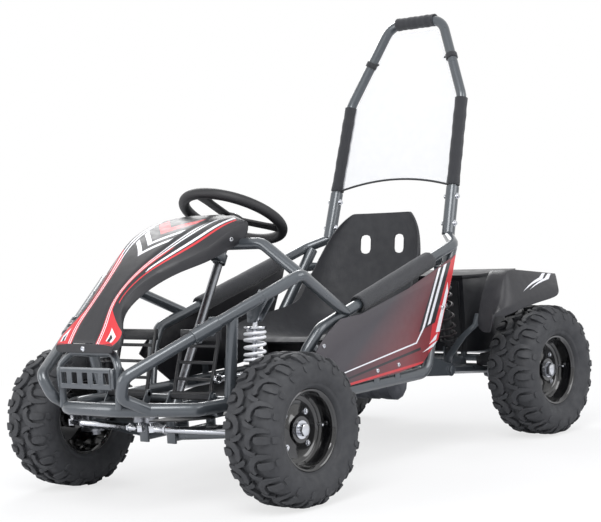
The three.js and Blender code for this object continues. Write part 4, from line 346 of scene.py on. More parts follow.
def collar(centre, axis, outer, bore, length, sides=32, edge=0.0008):
    """A ring with a bore and eased edges."""
    h = length / 2
    profile = [(bore, -h), (outer - edge, -h), (outer, edge - h), (outer, h - edge), (outer - edge, h), (bore, h)]
    return smooth(turned(profile, centre, axis, sides, closed=True), 50)


def block(low, high, edge=0.0012):
    """A block between two opposite corners, with rounded edges."""
    low, high = Vector(low), Vector(high)
    bpy.ops.mesh.primitive_cube_add(size=1, location=(low + high) / 2)
    obj = bpy.context.object
    obj.scale = [abs(v) for v in high - low]
    settle(obj)
    return rounded(obj, edge) if edge else obj


def side_block(side, low, high, edge=0.0012):
    a, b = on(side, low), on(side, high)
    return block([min(p) for p in zip(a, b)], [max(p) for p in zip(a, b)], edge)


def plate(outline, shift, edge=0.0008, segments=2):
    """A flat outline of points, given a thickness along a vector."""
    obj = meshed(outline, faces=[list(range(len(outline)))])
    edit(obj, lambda: bpy.ops.mesh.extrude_region_move(TRANSFORM_OT_translate={"value": shift}), select_all,
         face_outwards)
    return smooth(rounded(obj, edge, segments), 35) if edge else obj


def side_plate(side, outline, inner, outer, edge=0.0008):
    """A plate of along and up pairs between two distances across."""
    return plate([on(side, (inner, y, z)) for y, z in outline], Vector((side * (outer - inner) * MM, 0, 0)), edge)


def surface(rows, thickness=0, levels=0, creases=(), edge=0, offset=-1):
    """A sheet through rows of points: a grid whose points are placed, then thickened and smoothed."""
    count = len(rows[0])
    bpy.ops.mesh.primitive_grid_add(x_subdivisions=count - 1, y_subdivisions=len(rows) - 1, size=1)
    obj = bpy.context.object
    for vertex, spot in zip(obj.data.vertices, [p for row in rows for p in row]):
        vertex.co = spot
    obj.matrix_basis = Matrix.Identity(4)
    if creases:
        marks = obj.data.attributes.new("crease_edge", "FLOAT", "EDGE")
        for line in obj.data.edges:
            a, b = sorted(line.vertices)
            for kind, index, value in creases:
                along = kind == "column" and a % count == index and b - a == count
                across = kind == "row" and a // count == index and b - a == 1
                if along or across:
                    marks.data[line.index].value = value
    if levels:
        modify(obj, "SUBSURF", levels=levels, render_levels=levels)
    if thickness:
        modify(obj, "SOLIDIFY", thickness=thickness, offset=offset)
    if edge:
        rounded(obj, edge)
    return smooth(obj, 40)


def hex_screw(foot, direction, radius, height):
    """A hexagon head on a washer."""
    bpy.ops.mesh.primitive_cylinder_add(vertices=6, radius=radius, depth=height, location=(0, 0, height / 2))
    head = rounded(settle(bpy.context.object), radius * 0.12)
    washer_radius, washer_foot = radius * 1.35, -0.0002
    washer = [(0, washer_foot), (washer_radius, washer_foot), (washer_radius, height * 0.18), (0, height * 0.2)]
    return stood(smooth(join([head, turned(washer, Vector(), UP, 24)]), 30), foot, direction)


def dome_screw(foot, direction, radius):
    """A round-headed screw with a hexagon socket."""
    height = radius * 0.62
    profile = [(0, height * 0.45), (radius * 0.42, height * 0.45), (radius * 0.42, height), (radius * 0.62, height),
               (radius * 0.9, height * 0.6), (radius, 0), (0, 0)]
    return stood(smooth(turned(profile, Vector(), UP, 18), 30), foot, direction)


def coil(start, end, radius, wire, curls, curl_steps=28, crowding=0.32):
    """A wound spring whose end curls lie closer together."""
    axis = (end - start).normalized()
    across = Vector((0, 1, 0)).cross(axis).normalized()
    third = axis.cross(across)
    length = (end - start).length - 2 * wire
    steps = int(curls * curl_steps)
    points = []
    for i in range(steps + 1):
        share = i / steps
        angle = 2 * math.pi * curls * share
        eased = share - math.sin(2 * math.pi * share) / (2 * math.pi) * crowding
        spoke = across * math.cos(angle) + third * math.sin(angle)
        points.append(start + axis * (wire + length * eased) + spoke * radius)
    return swept(points, wire, 12)


def smooth_copy(node, degrees=50, edge=0.0008):
    """A copy of a CAD node with its loose triangles merged and its edges eased."""
    obj = copied(frame["nodes"][node])
    obj.parent = None
    obj.matrix_basis = Matrix.Identity(4)
    obj.hide_render = obj.hide_viewport = False
    for key in list(obj.keys()):
        del obj[key]
    obj.data.materials.clear()
    edit(obj, lambda: bpy.ops.mesh.remove_doubles(threshold=1e-5),
         lambda: bpy.ops.mesh.dissolve_limited(angle_limit=math.radians(1)))
    if edge:
        modify(obj, "BEVEL", width=edge, segments=2, limit_method="ANGLE", angle_limit=math.radians(52))
    return smooth(obj, degrees)


def hand_in(obj, name, look, *nodes, body="chassis", slot=None):
    """Names a finished piece, gives it its finish and lets it ride on a body."""
    obj.name = name
    obj.data.name = name
    obj.data.materials.clear()
    obj.data.materials.append(finish(look))
    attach(obj, body)
    if nodes:
        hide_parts(*nodes)


def dress(node, name, look, slot=None, degrees=50, edge=0.0008):
    """Hands in a smooth copy of a CAD node, on that node's body."""
    body = frame["nodes"][node]["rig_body"]
    hand_in(smooth_copy(node, degrees, edge), name, look, node, body=body, slot=slot)


# Finishes


class Finish:
    """Builds one procedural material."""

    def __init__(self, name, base, roughness, metallic=0.0, **sockets):
        self.material = bpy.data.materials.new(name)
        self.material.use_nodes = True
        self.tree = self.material.node_tree
        self.shader = self.tree.nodes["Principled BSDF"]
        self.base = base
        self.shader.inputs["Base Color"].default_value = (*base, 1)
        self.shader.inputs["Roughness"].default_value = roughness
        self.shader.inputs["Metallic"].default_value = metallic
        for key, value in sockets.items():
            self.shader.inputs[key.replace("_", " ")].default_value = value
        coordinates = self.add("ShaderNodeTexCoord")
        self.object = coordinates.outputs["Object"]
        self.uv = coordinates.outputs["UV"]

    def add(self, kind, **values):
        node = self.tree.nodes.new(kind)
        for key, value in values.items():
            setattr(node, key, value)
        return node

    def feed(self, socket, value):
        if isinstance(value, bpy.types.NodeSocket):
            self.tree.links.new(value, socket)
        elif socket.type == "RGBA":
            socket.default_value = (*value, 1)
        else:
            socket.default_value = value

    def math(self, operation, *values):
        node = self.add("ShaderNodeMath", operation=operation)
        for socket, value in zip(node.inputs, values):
            self.feed(socket, value)
        return node.outputs[0]

    def noise(self, scale, detail=3.0):
        node = self.add("ShaderNodeTexNoise")
        self.feed(node.inputs["Vector"], self.object)
        node.inputs["Scale"].default_value = scale
        node.inputs["Detail"].default_value = detail
        return node.outputs["Fac"]

    def cells(self, scale):
        node = self.add("ShaderNodeTexVoronoi")
        self.feed(node.inputs["Vector"], self.object)
        node.inputs["Scale"].default_value = scale
        return node.outputs["Distance"]

    def spread(self, value, low, high, start=0.0, end=1.0):
        node = self.add("ShaderNodeMapRange")
        for socket, given in zip(node.inputs, (value, low, high, start, end)):
            self.feed(socket, given)
        return node.outputs[0]

    def mix(self, factor, first, second):
        """Mixes two colours; 6 and 7 are the node's colour sockets, and 2 is its colour result."""
        node = self.add("ShaderNodeMix", data_type="RGBA")
        for socket, value in ((0, factor), (6, first), (7, second)):
            self.feed(node.inputs[socket], value)
        return node.outputs[2]

    def axes(self, vector=None):
        node = self.add("ShaderNodeSeparateXYZ")
        self.feed(node.inputs[0], vector or self.object)
        return node.outputs

    def shape(self, u, v, corners):
        """1 inside a convex outline of corner pairs, and 0 outside."""
        turns = sum(u0 * v1 - u1 * v0 for (u0, v0), (u1, v1) in zip(corners, corners[1:] + corners[:1]))
        corners = corners if turns > 0 else corners[::-1]
        inside = None
        for (u0, v0), (u1, v1) in zip(corners, corners[1:] + corners[:1]):
            du, dv = u1 - u0, v1 - v0
            size = math.hypot(du, dv)
            part = self.math("MULTIPLY_ADD", v, du / size, (dv * u0 - du * v0) / size)
            part = self.math("MULTIPLY_ADD", u, -dv / size, part)
            inside = part if inside is None else self.math("MINIMUM", inside, part)
        return self.math("GREATER_THAN", inside, 0.0)

    def set(self, socket, value):
        self.feed(self.shader.inputs[socket], value)
        return self

    def bump(self, height, strength, distance):
        node = self.add("ShaderNodeBump")
        self.feed(node.inputs["Height"], height)
        node.inputs["Strength"].default_value = strength
        node.inputs["Distance"].default_value = distance
        self.tree.links.new(node.outputs["Normal"], self.shader.inputs["Normal"])
        return self

    def shade(self, amount, scale, detail=4.0):
        """Lets the base colour vary a little over the surface."""
        dark = times(self.base, 1 - amount)
        light = tuple(min(1.0, c) for c in times(self.base, 1 + amount))
        return self.set("Base Color", self.mix(self.noise(scale, detail), dark, light))

    def wear(self, scale, low, high):
        """Lets the roughness vary between two values."""
        return self.set("Roughness", self.spread(self.noise(scale), 0.3, 0.7, low, high))

    def stripes(self, paint, u, v, table):
        """Lays the stripes of a table over a paint."""
        for tint, corners in table:
            paint = self.mix(self.shape(u, v, corners), paint, tuple(getattr(bpy.context.scene.kart_body, tint)))
        return paint


def times(tint, share):
    return tuple(c * share for c in tint)


FINISHES = {}


def finish(name):
    """The material of that name, made the first time it is asked for."""
    if name not in FINISHES:
        FINISHES[name] = RECIPES.get(name, plain)(name).material
    return FINISHES[name]


# Plain finishes: colour or the setting that holds it, roughness, metal, shade as amount and scale, wear as scale and
# range, grain as pattern, scale, strength and depth, and other sockets
PLAIN = {
    "frame_paint": ("kart_frame.paint", 0.3, 0.35, (0.08, 7), (30, 0.27, 0.34), ("noise", (260, 2), 0.04, 0.0008),
                    {"Coat_Weight": 0.7, "Coat_Roughness": 0.08}),
    "moulded_black": ("kart_body.black", 0.5, 0, (0.12, 14), (60, 0.42, 0.58), ("cells", (1400,), 0.12, 0.0006), {}),
    "seat_plastic": ("kart_body.seat", 0.62, 0, (0.15, 10), (40, 0.55, 0.72), ("cells", (900,), 0.3, 0.0008), {}),
    "tyre_rubber": ("kart_wheels.rubber", 0.7, 0, (0.22, 16, 6), (50, 0.58, 0.82),
                    ("noise", (700, 4), 0.25, 0.0012), {}),
    "rim_gloss": ("kart_wheels.rim_paint", 0.18, 0.2, (0.2, 12), (45, 0.1, 0.16), ("noise", (90, 2), 0.03, 0.001),
                  {"Coat_Weight": 1.0, "Coat_Roughness": 0.05}),
    "satin_black": ((26, 27, 31), 0.42, 0.1, (0.15, 11), (30, 0.32, 0.5), ("noise", (1200, 2), 0.1, 0.0006), {}),
    "chrome": ((205, 207, 212), 0.16, 1, (0.1, 60), (80, 0.1, 0.28), ("noise", (300, 3), 0.05, 0.0008), {}),
    "machined_steel": ((140, 142, 147), 0.34, 0.95, (0.18, 40), (120, 0.26, 0.46),
                       ("noise", (600, 4), 0.1, 0.0006), {}),
    "cast_metal": ((96, 98, 104), 0.45, 0.8, (0.2, 22), (70, 0.38, 0.58), ("noise", (380, 5), 0.3, 0.001), {}),
    "white_coil": ((236, 237, 240), 0.32, 0, (0.05, 30), (60, 0.26, 0.4), ("noise", (500, 2), 0.06, 0.0008), {}),
    "dark_coil": ((30, 22, 27), 0.4, 0.2, (0.15, 30), None, ("noise", (500, 2), 0.06, 0.0008), {}),
    "wheel_grip": ((24, 24, 27), 0.55, 0, (0.2, 20), None, ("noise", (520, 3), 0.25, 0.0008), {}),
    "cell_wrap": ((44, 78, 122), 0.5, 0, (0.1, 12), None, ("noise", (90, 3), 0.2, 0.001), {}),
}


def plain(name):
    """A finish of one colour with its shade, wear and grain."""
    base, roughness, metal, shade, wear, (pattern, scale, strength, depth), sockets = PLAIN[name]
    if isinstance(base, str):
        group, key = base.split(".")
        base = tuple(getattr(getattr(bpy.context.scene, group), key))
    else:
        base = colour(*base)
    made = Finish(name, base, roughness, metal, **sockets)
    made.shade(*shade)
    if wear:
        made.wear(*wear)
    return made.bump(getattr(made, pattern)(*scale), strength, depth)


def woven_cover(name, threads=3600.0):
    base = tuple(bpy.context.scene.kart_soft.fabric)
    fabric = Finish(name, base, 0.85, Sheen_Weight=0.25)
    x, y, z = fabric.axes()
    total = fabric.math("ADD", fabric.math("ADD", x, y), z)
    warp, weft = (fabric.math("SINE", fabric.math("MULTIPLY", run, threads))
                  for run in (total, fabric.math("SUBTRACT", y, z)))
    weave = fabric.math("MULTIPLY", warp, weft)
    fabric.set("Base Color", fabric.mix(fabric.spread(weave, -1.0, 1.0), times(base, 0.72), times(base, 1.25)))
    return fabric.bump(fabric.math("MULTIPLY_ADD", fabric.noise(25), 2.0, weave), 0.35, 0.0006)


def sheer_net(name, threads=2600.0):
    net = Finish(name, tuple(bpy.context.scene.kart_soft.net), 0.8, Alpha=0.3)
    net.shade(0.04, 40)
    x, _, z = net.axes()
    waves = [net.math("SINE", net.math("MULTIPLY", run, threads)) for run in (x, z)]
    return net.bump(net.math("MULTIPLY", *waves), 0.3, 0.0005)


def cowl_print(name):
    black = tuple(bpy.context.scene.kart_body.black)
    cowl = Finish(name, black, 0.42)
    u, v, _ = cowl.axes(cowl.uv)
    side = cowl.math("ABSOLUTE", cowl.math("SUBTRACT", u, 0.5))
    paint = cowl.mix(cowl.noise(12), times(black, 0.85), times(black, 1.15))
    cowl.set("Base Color", cowl.stripes(paint, side, v, COWL_PRINT))
    cowl.wear(50, 0.36, 0.5)
    return cowl.bump(cowl.cells(1500), 0.06, 0.0005)


def panel_print(name, outer_face=0.2980):
    """Grey that fades to red towards the back, with the stripes on the outer face alone."""
    body = bpy.context.scene.kart_body
    grey = tuple(body.grey)
    panel = Finish(name, grey, 0.34, Coat_Weight=0.3, Coat_Roughness=0.15)
    x, y, z = panel.axes()
    fade = panel.math("MULTIPLY_ADD", z, -1.4, y)
    paint = panel.mix(panel.spread(fade, -0.56, -0.2, 0.0, 0.62), grey, times(body.red, 0.6))
    paint = panel.mix(panel.spread(panel.noise(30), 0.3, 0.7, 0.0, 0.12), paint, times(grey, 1.2))
    metres = [(tint, [((along + FORWARD_SHIFT) * MM, up * MM) for along, up in corners])
              for tint, corners in PANEL_PRINT]
    outer = panel.math("GREATER_THAN", panel.math("ABSOLUTE", x), outer_face)
    panel.set("Base Color", panel.mix(outer, times(body.black, 0.8), panel.stripes(paint, y, z, metres)))
    panel.wear(50, 0.28, 0.42)
    return panel.bump(panel.noise(700, 2), 0.05, 0.0006)


def fender_print(name):
    black = tuple(bpy.context.scene.kart_body.black)
    plastic = Finish(name, black, 0.42)
    u, v, _ = plastic.axes(plastic.uv)
    paint = plastic.mix(plastic.noise(14), times(black, 0.85), times(black, 1.2))
    plastic.set("Base Color", plastic.stripes(paint, u, v, FENDER_PRINT))
    plastic.wear(60, 0.36, 0.5)
    return plastic.bump(plastic.cells(1300), 0.12, 0.0006)


# Stripes on the cowl: distance from its middle line and along it, as shares of the whole
COWL_PRINT = [
    ("red", [(0.2, 0.0), (0.3, 0.0), (0.3, 0.66), (0.2, 0.56)]),
    ("white", [(0.225, 0.0), (0.24, 0.0), (0.235, 0.86), (0.215, 0.8)]),
    ("white", [(0.262, 0.0), (0.275, 0.0), (0.28, 0.92), (0.26, 0.9)]),
    ("red", [(0.3, 0.0), (0.4, 0.0), (0.4, 0.14), (0.3, 0.24)]),
    ("white", [(0.33, 0.03), (0.375, 0.03), (0.375, 0.09), (0.33, 0.13)]),
    ("black", [(0.34, 0.03), (0.36, 0.03), (0.36, 0.07), (0.34, 0.09)]),
    ("red", [(0.34, 0.3), (0.352, 0.3), (0.352, 0.97), (0.34, 0.97)]),
    ("white", [(0.32, 0.52), (0.333, 0.5), (0.333, 0.98), (0.32, 0.98)]),
    ("white", [(0.0, 0.58), (0.1, 0.68), (0.1, 0.71), (0.0, 0.61)]),
    ("white", [(0.0, 0.65), (0.1, 0.75), (0.1, 0.78), (0.0, 0.68)]),
    ("red", [(0.0, 0.74), (0.1, 0.84), (0.1, 0.9), (0.0, 0.8)]),
]
# Stripes on the side panels, as along and up
PANEL_PRINT = [
    ("red", [(112, 272), (160, 303), (244, 469), (264, 518), (238, 503), (140, 352)]),
    ("black", [(76, 330), (150, 348), (238, 500), (176, 485)]),
    ("white", [(92, 338), (104, 341), (192, 490), (181, 487)]),
    ("white", [(116, 344), (130, 348), (220, 498), (206, 494)]),
    ("white", [(150, 322), (168, 322), (218, 424), (218, 448)]),
    ("white", [(100, 290), (150, 303), (160, 322), (146, 313)]),
    ("white", [(86, 276), (150, 289), (156, 300), (140, 296)]),
    ("white", [(-262, 262), (60, 302), (60, 306), (-262, 265)]),
    ("white", [(58, 302), (64, 302), (104, 341), (92, 338)]),
    ("black", [(-250, 245), (80, 284), (80, 291), (-250, 250)]),
    ("red", [(-241, 232), (86, 248), (86, 254), (-241, 238)]),
]
# Stripes on the fenders: across and along their length, as shares of the whole
FENDER_PRINT = [
    ("white", [(0.6, 0.58), (0.47, 0.84), (0.44, 0.81)]),
    ("white", [(0.47, 0.84), (0.44, 0.81), (0.35, 0.86), (0.35, 0.89)]),
    ("white", [(0.6, 0.66), (0.47, 0.91), (0.45, 0.87)]),
    ("white", [(0.47, 0.91), (0.45, 0.87), (0.35, 0.92), (0.35, 0.95)]),
]

RECIPES = {"woven_cover": woven_cover, "sheer_net": sheer_net, "cowl_print": cowl_print,
           "panel_print": panel_print, "fender_print": fender_print}


# The stage


# The white floor glows a little near the kart and wholly further off, by distance in metres
FLOOR_SIZE = 14
GLOW_REACH = (0.9, 2.6)
GLOW_SHARE = (0.72, 1.0)
# Lamps: place and aim in metres, size in metres and power in watts
LAMPS = [
    ("key_lamp", (1.6, -2.6, 3.4), (0, 0, 0.4), 2.2, 120), ("side_lamp", (3.6, 0.8, 2.2), (0, 0, 0.4), 2.4, 55),
    ("rim_lamp", (-2.4, 2.0, 2.8), (0, 0, 0.5), 2.0, 70), ("nose_lamp", (-1.8, -3.2, 1.4), (0, -0.3, 0.4), 1.8, 35),
]
# The camera fitted to the photo: focal length in millimetres, place in metres, and its right, up and back
FOCAL_LENGTH = 99.26
CAMERA_SPOT = (2.8349, -3.29355, 0.7433)
CAMERA_AXES = ((0.7623, 0.6437, -0.0669), (0.0193, 0.0806, 0.9966), (0.6469, -0.7610, 0.0490))


class KART_OT_stage(bpy.types.Operator):
    """Pale floor, soft lamps, white surroundings and the camera"""
    bl_idname = "kart.stage"
    bl_label = "Stage"

    def execute(self, context):
        scene = context.scene
        scene.view_settings.view_transform = "Standard"
        self.world(scene)
        self.floor()
        self.lamps()
        self.camera(scene)
        return {"FINISHED"}

    def world(self, scene):
        world = bpy.data.worlds.new("surroundings")
        world.use_nodes = True
        scene.world = world
        nodes, links = world.node_tree.nodes, world.node_tree.links
        dim = nodes["Background"]
        dim.inputs["Color"].default_value = (0.9, 0.93, 1.0, 1)
        dim.inputs["Strength"].default_value = 0.5
        white = nodes.new("ShaderNodeBackground")
        white.inputs["Color"].default_value = (1, 1, 1, 1)
        rays = nodes.new("ShaderNodeLightPath").outputs
        seen, shown = nodes.new("ShaderNodeMath"), nodes.new("ShaderNodeMath")
        seen.operation = shown.operation = "MAXIMUM"
        mixer = nodes.new("ShaderNodeMixShader")
        for source, target in (
                (rays["Is Camera Ray"], seen.inputs[0]), (rays["Is Transmission Ray"], seen.inputs[1]),
                (seen.outputs[0], shown.inputs[0]), (rays["Is Glossy Ray"], shown.inputs[1]),
                (shown.outputs[0], mixer.inputs[0]), (dim.outputs[0], mixer.inputs[1]),
                (white.outputs[0], mixer.inputs[2]),
                (mixer.outputs[0], nodes["World Output"].inputs["Surface"])):
            links.new(source, target)

    def floor(self):
        bpy.ops.mesh.primitive_grid_add(x_subdivisions=4, y_subdivisions=4, size=FLOOR_SIZE)
        ground = bpy.context.object
        ground.name = "pale_floor"
        paint = Finish("floor_white", (0.86, 0.86, 0.87), 0.9)
        paint.shade(0.01, 2)
        tree = paint.tree
        glow = paint.add("ShaderNodeEmission")
        path = paint.add("ShaderNodeLightPath")
        mixer = paint.add("ShaderNodeMixShader")
        glow.inputs["Color"].default_value = (1, 1, 1, 1)
        x, y, _ = paint.axes()
        reach = paint.math("SQRT", paint.math("ADD", paint.math("MULTIPLY", x, x), paint.math("MULTIPLY", y, y)))
        share = paint.math("MULTIPLY", path.outputs["Is Camera Ray"], paint.spread(reach, *GLOW_REACH, *GLOW_SHARE))
        for source, target in (
                (share, mixer.inputs[0]), (paint.shader.outputs[0], mixer.inputs[1]),
                (glow.outputs[0], mixer.inputs[2]),
                (mixer.outputs[0], tree.nodes["Material Output"].inputs["Surface"])):
            tree.links.new(source, target)
        ground.data.materials.append(paint.material)

    def lamps(self):
        for name, spot, aim, size, power in LAMPS:
            light = bpy.data.lights.new(name, "AREA")
            light.size = size
            light.energy = power
            lamp = linked(light)
            lamp.location = spot
            lamp.rotation_euler = (Vector(aim) - Vector(spot)).to_track_quat("-Z", "Y").to_euler()

    def camera(self, scene):
        lens = bpy.data.cameras.new("photo_camera")
        lens.lens = FOCAL_LENGTH
        lens.sensor_width = 36
        lens.sensor_fit = "HORIZONTAL"
        viewer = linked(lens)
        turn = Matrix(CAMERA_AXES).transposed().to_4x4()
        viewer.matrix_world = Matrix.Translation(CAMERA_SPOT) @ turn
        scene.camera = viewer


# The frame


# Cross members as half width and place along
CROSS_MEMBERS = [(213, -594), (213, -451), (280, -60), (280, 92)]
# The bow behind the seat leaves the last riser at this share of its height
BOW_SHARE = 0.78
BOW_CORNERS = [(205, 369, 495), (-205, 369, 495)]
MASTER_CYLINDER = [(182, -392, 293), (182, -300, 293)]
CYLINDER_FOOT = [(177, -379, CROSS_HEIGHT), (205, -313, 293)]
# A-arm hinge ears, seat stand, swing arm hanger foot, rear shock ears, floor rib and panel tabs, by their corners
FRAME_BLOCKS = [
    ((32, -594.3, 138), (60, -588.3, CROSS_HEIGHT)), ((32, -456.7, 138), (60, -450.7, CROSS_HEIGHT)),
    ((103, -84, 262), (121, 116, 270)), ((240, 74, 213), (280, 114, 229)),
    ((180.4, 360, 454), (185.4, 384, 495)), ((154.6, 360, 454), (159.6, 384, 495)),
    ((11.5, -594, 216.3), (16.5, -451, 226.3)), ((293, -119, 221), (295.8, -95, 261)),
    ((293, -31, 221), (295.8, -7, 265)),
]
# Hinge pin, seat posts, pedal pin and rear shock pin: ends and radius in metres
FRAME_RODS = [
    ((45, -594, 155), (45, -451, 155), 0.007), ((112, -60, CROSS_HEIGHT), (112, -60, 266), 0.009),
    ((112, 92, CROSS_HEIGHT), (112, 92, 266), 0.009), ((36.7, -575, 252), (175.3, -575, 252), 0.006),
    ((154.6, 372, 466), (185.4, 372, 466), 0.004),
]
# Pedal ears and the swing arm's hanger: outline of along and up, and the plate's two faces
PEDAL_EAR = [(-606, 221), (-582, 221), (-564, 252), (-569.5, 263), (-580.5, 263), (-586, 252)]
HANGER = [(74, 213), (283, 189), (299, 205), (283, 221), (154, 269), (106, 229)]
FRAME_PLATES = [(PEDAL_EAR, 36.7, 41.7), (PEDAL_EAR, 170.3, 175.3), (HANGER, 240, 246)]
# Screws: foot, and radius and height in metres
FRAME_SCREWS = [((175.3, -575, 252), 0.0095, 0.006), ((246, 283, 205), 0.0128, 0.008)]


def column_bush(centre):
    return collar(centre, COLUMN_LEAN, 0.0165, 0.0115, 0.026)


class KART_OT_lower_frame(bpy.types.Operator):
    """Sills, cross members, hangers, seat stand, pedal ears and master cylinder"""
    bl_idname = "kart.lower_frame"
    bl_label = "Lower frame"

    def execute(self, context):
        sizes = context.scene.kart_frame
        parts = [tube(both_sides(SILL[::-1]), sizes.sill_radius, sizes.bend)]
        for half, along in CROSS_MEMBERS:
            parts.append(rod(place(-half, along, CROSS_HEIGHT), place(half, along, CROSS_HEIGHT), sizes.cross_radius))
        left, right = (on(side, SILL[5]).lerp(on(side, SILL[6]), BOW_SHARE) for _, side in SIDES)
        parts.append(tube([left, *(place(*spot) for spot in BOW_CORNERS), right], sizes.cross_radius, sizes.bend))
        for _, side in SIDES:
            parts.append(rod(on(side, DASH_POST[0]), on(side, DASH_POST[1]), sizes.tube_radius))
            parts += [side_block(side, low, high) for low, high in FRAME_BLOCKS]
            parts += [rod(on(side, start), on(side, end), radius) for start, end, radius in FRAME_RODS]
            parts += [side_plate(side, outline, inner, outer) for outline, inner, outer in FRAME_PLATES]
            parts += [hex_screw(on(side, foot), side * ACROSS, radius, height)
                      for foot, radius, height in FRAME_SCREWS]
        parts.append(column_bush(up_column((CROSS_HEIGHT - COLUMN_BRACKET[2]) / COLUMN_LEAN.z)))
        parts.append(rod(*(place(*spot) for spot in MASTER_CYLINDER), 0.013))
        parts.append(side_block(1, *CYLINDER_FOOT))
        hand_in(smooth(join(parts)), "sill_frame", "frame_paint", "lower_frame")
        return {"FINISHED"}


RAIL_SLEEVE = (0.38, 0.52)
RAIL_SCREWS = (0.25, 0.75)
# The front shock's ears: outline of across and up, the nearer face of each, and the pin
SHOCK_EAR = [(236, 419), (260, 419), (304, 473), (280, 497), (236, 443)]
SHOCK_EAR_FACES = (-507.4, -484.6)
SHOCK_PIN = [(248, -508, 431), (248, -476, 431)]
DASH_FORK = [(-402, 591), (-332, 546), (-332, 572), (-402, 605)]


class KART_OT_rails(bpy.types.Operator):
    """Side rails with their bolted sleeves, armrest rails and the dash hoop"""
    bl_idname = "kart.rails"
    bl_label = "Rails"

    def execute(self, context):
        sizes = context.scene.kart_frame
        for name, side in SIDES:
            corners = [on(side, spot) for spot in SIDE_RAIL]
            a, b = (corners[2].lerp(corners[3], share) for share in RAIL_SLEEVE)
            parts = [tube(corners, sizes.tube_radius, sizes.tight_bend),
                     collar((a + b) / 2, b - a, 0.0175, 0.0135, (b - a).length)]
            parts += [hex_screw(a.lerp(b, share) + way * 0.0165 * UP, way * UP, 0.006, 0.005)
                      for share in RAIL_SCREWS for way in (1, -1)]
            parts += [plate([on(side, (x, near, z)) for x, z in SHOCK_EAR], Vector((0, 0.005, 0)))
                      for near in SHOCK_EAR_FACES]
            parts.append(rod(*(on(side, spot) for spot in SHOCK_PIN), 0.004))
            hand_in(smooth(join(parts)), f"upper_rail_{name}", "frame_paint", f"side_rail_{name}")
            arm = tube([on(side, spot) for spot in ARMREST], sizes.tube_radius, sizes.bend)
            hand_in(arm, f"arm_rail_{name}", "frame_paint", f"armrest_rail_{name}")
        parts = [tube(both_sides(DASH), sizes.tube_radius, sizes.bend), column_bush(place(*COLUMN_BRACKET))]
        parts += [side_plate(side, DASH_FORK, 11.5, 16.5) for _, side in SIDES]
        hand_in(smooth(join(parts)), "dash_tube", "frame_paint", "dash_hoop")
        return {"FINISHED"}


CLAMP_SHARE = 0.34
CLAMP_BOLTS = (0.08, 0.272)


class KART_OT_roll_bar(bpy.types.Operator):
    """The roll bar with its bolted clamps"""
    bl_idname = "kart.roll_bar"
    bl_label = "Roll bar"

    def execute(self, context):
        sizes = context.scene.kart_frame
        parts = [tube(both_sides(ROLL_BAR), sizes.tube_radius, sizes.bend + sizes.tube_radius)]
        bolts = []
        for _, side in SIDES:
            foot = on(side, ROLL_BAR[0])
            rise = on(side, ROLL_BAR[1]) - foot
            length = rise.length * CLAMP_SHARE
            parts.append(collar(foot + rise.normalized() * length / 2, rise, 0.018, 0.0135, length))
            bolts += [hex_screw(foot + rise * share + way * 0.0175 * ACROSS, way * ACROSS, 0.0065, 0.006)
                      for share in CLAMP_BOLTS for way in (1, -1)]
        hand_in(smooth(join(parts)), "hoop", "frame_paint", "roll_bar")
        hand_in(join(bolts), "hoop_bolts", "chrome")
        return {"FINISHED"}


GUARD_TAB = [(84, -812, 300), (95, -798, 346)]
# The slotted plate: half width, half width of a window, pitch of the windows and heights of the rows
PLATE_HALF = 88
WINDOW_HALF = 9
WINDOW_PITCH = 35.2
PLATE_ROWS = [298, 310, 336, 348]


class KART_OT_guard(bpy.types.Operator):
    """The nose guard: a hoop with a slotted plate"""
    bl_idname = "kart.guard"
    bl_label = "Nose guard"

    def execute(self, context):
        parts = [tube(both_sides(NOSE_GUARD), 0.009, context.scene.kart_frame.tight_bend), self.slotted_plate()]
        parts += [side_block(side, *GUARD_TAB) for _, side in SIDES]
        hand_in(smooth(join(parts)), "nose_guard", "frame_paint", "bumper_guard")
        return {"FINISHED"}

    def slotted_plate(self):
        """A plate with five windows: the middle row loses every second face."""
        middles = [WINDOW_PITCH * (i + 0.5) - PLATE_HALF for i in range(5)]
        across = [-PLATE_HALF, *(m + way * WINDOW_HALF for m in middles for way in (-1, 1)), PLATE_HALF]
        obj = surface([[place(x, -812, z) for x in across] for z in PLATE_ROWS])
        work = bmesh.new()
        work.from_mesh(obj.data)
        columns = len(across) - 1
        work.faces.ensure_lookup_table()
        windows = [work.faces[columns + i] for i in range(1, columns, 2)]
        bmesh.ops.delete(work, geom=windows, context="FACES")
        work.to_mesh(obj.data)
        work.free()
        modify(obj, "SOLIDIFY", thickness=0.004, offset=0)
        obj.data.transform(Matrix.Translation((0, 0.002, 0)))
        return smooth(rounded(edit(obj, weld, face_outwards), 0.0012), 35)


# Bodywork


# Along, height of the ridge, and shoulder, side and skirt as across and up
COWL_STATIONS = [
    (-806, 402, (56, 400), (92, 396), (94, 382)), (-778, 442, (58, 438), (106, 414), (107, 396)),
    (-748, 478, (42, 476), (60, 468), (62, 444)), (-712, 512, (38, 511), (56, 503), (59, 478)),
    (-655, 558, (50, 555), (73, 542), (76, 516)), (-591, 602, (80, 595), (112, 568), (112, 548)),
    (-530, 636, (102, 627), (142, 592), (138, 562)), (-450, 662, (106, 656), (146, 634), (142, 588)),
    (-376, 668, (98, 664), (140, 648), (137, 612)),
]


RIDGE_COLUMN = 5
LIP_SHARES = (-1, -0.75, -0.4, 0, 0.4, 0.75, 1)
LIP_HEIGHTS = (381, 387, 397, 402)
# The bolts of the left side: place, and radius in metres
COWL_BOLTS = [((142, -443, 612), 0.0075), ((138, -391, 628), 0.0065)]


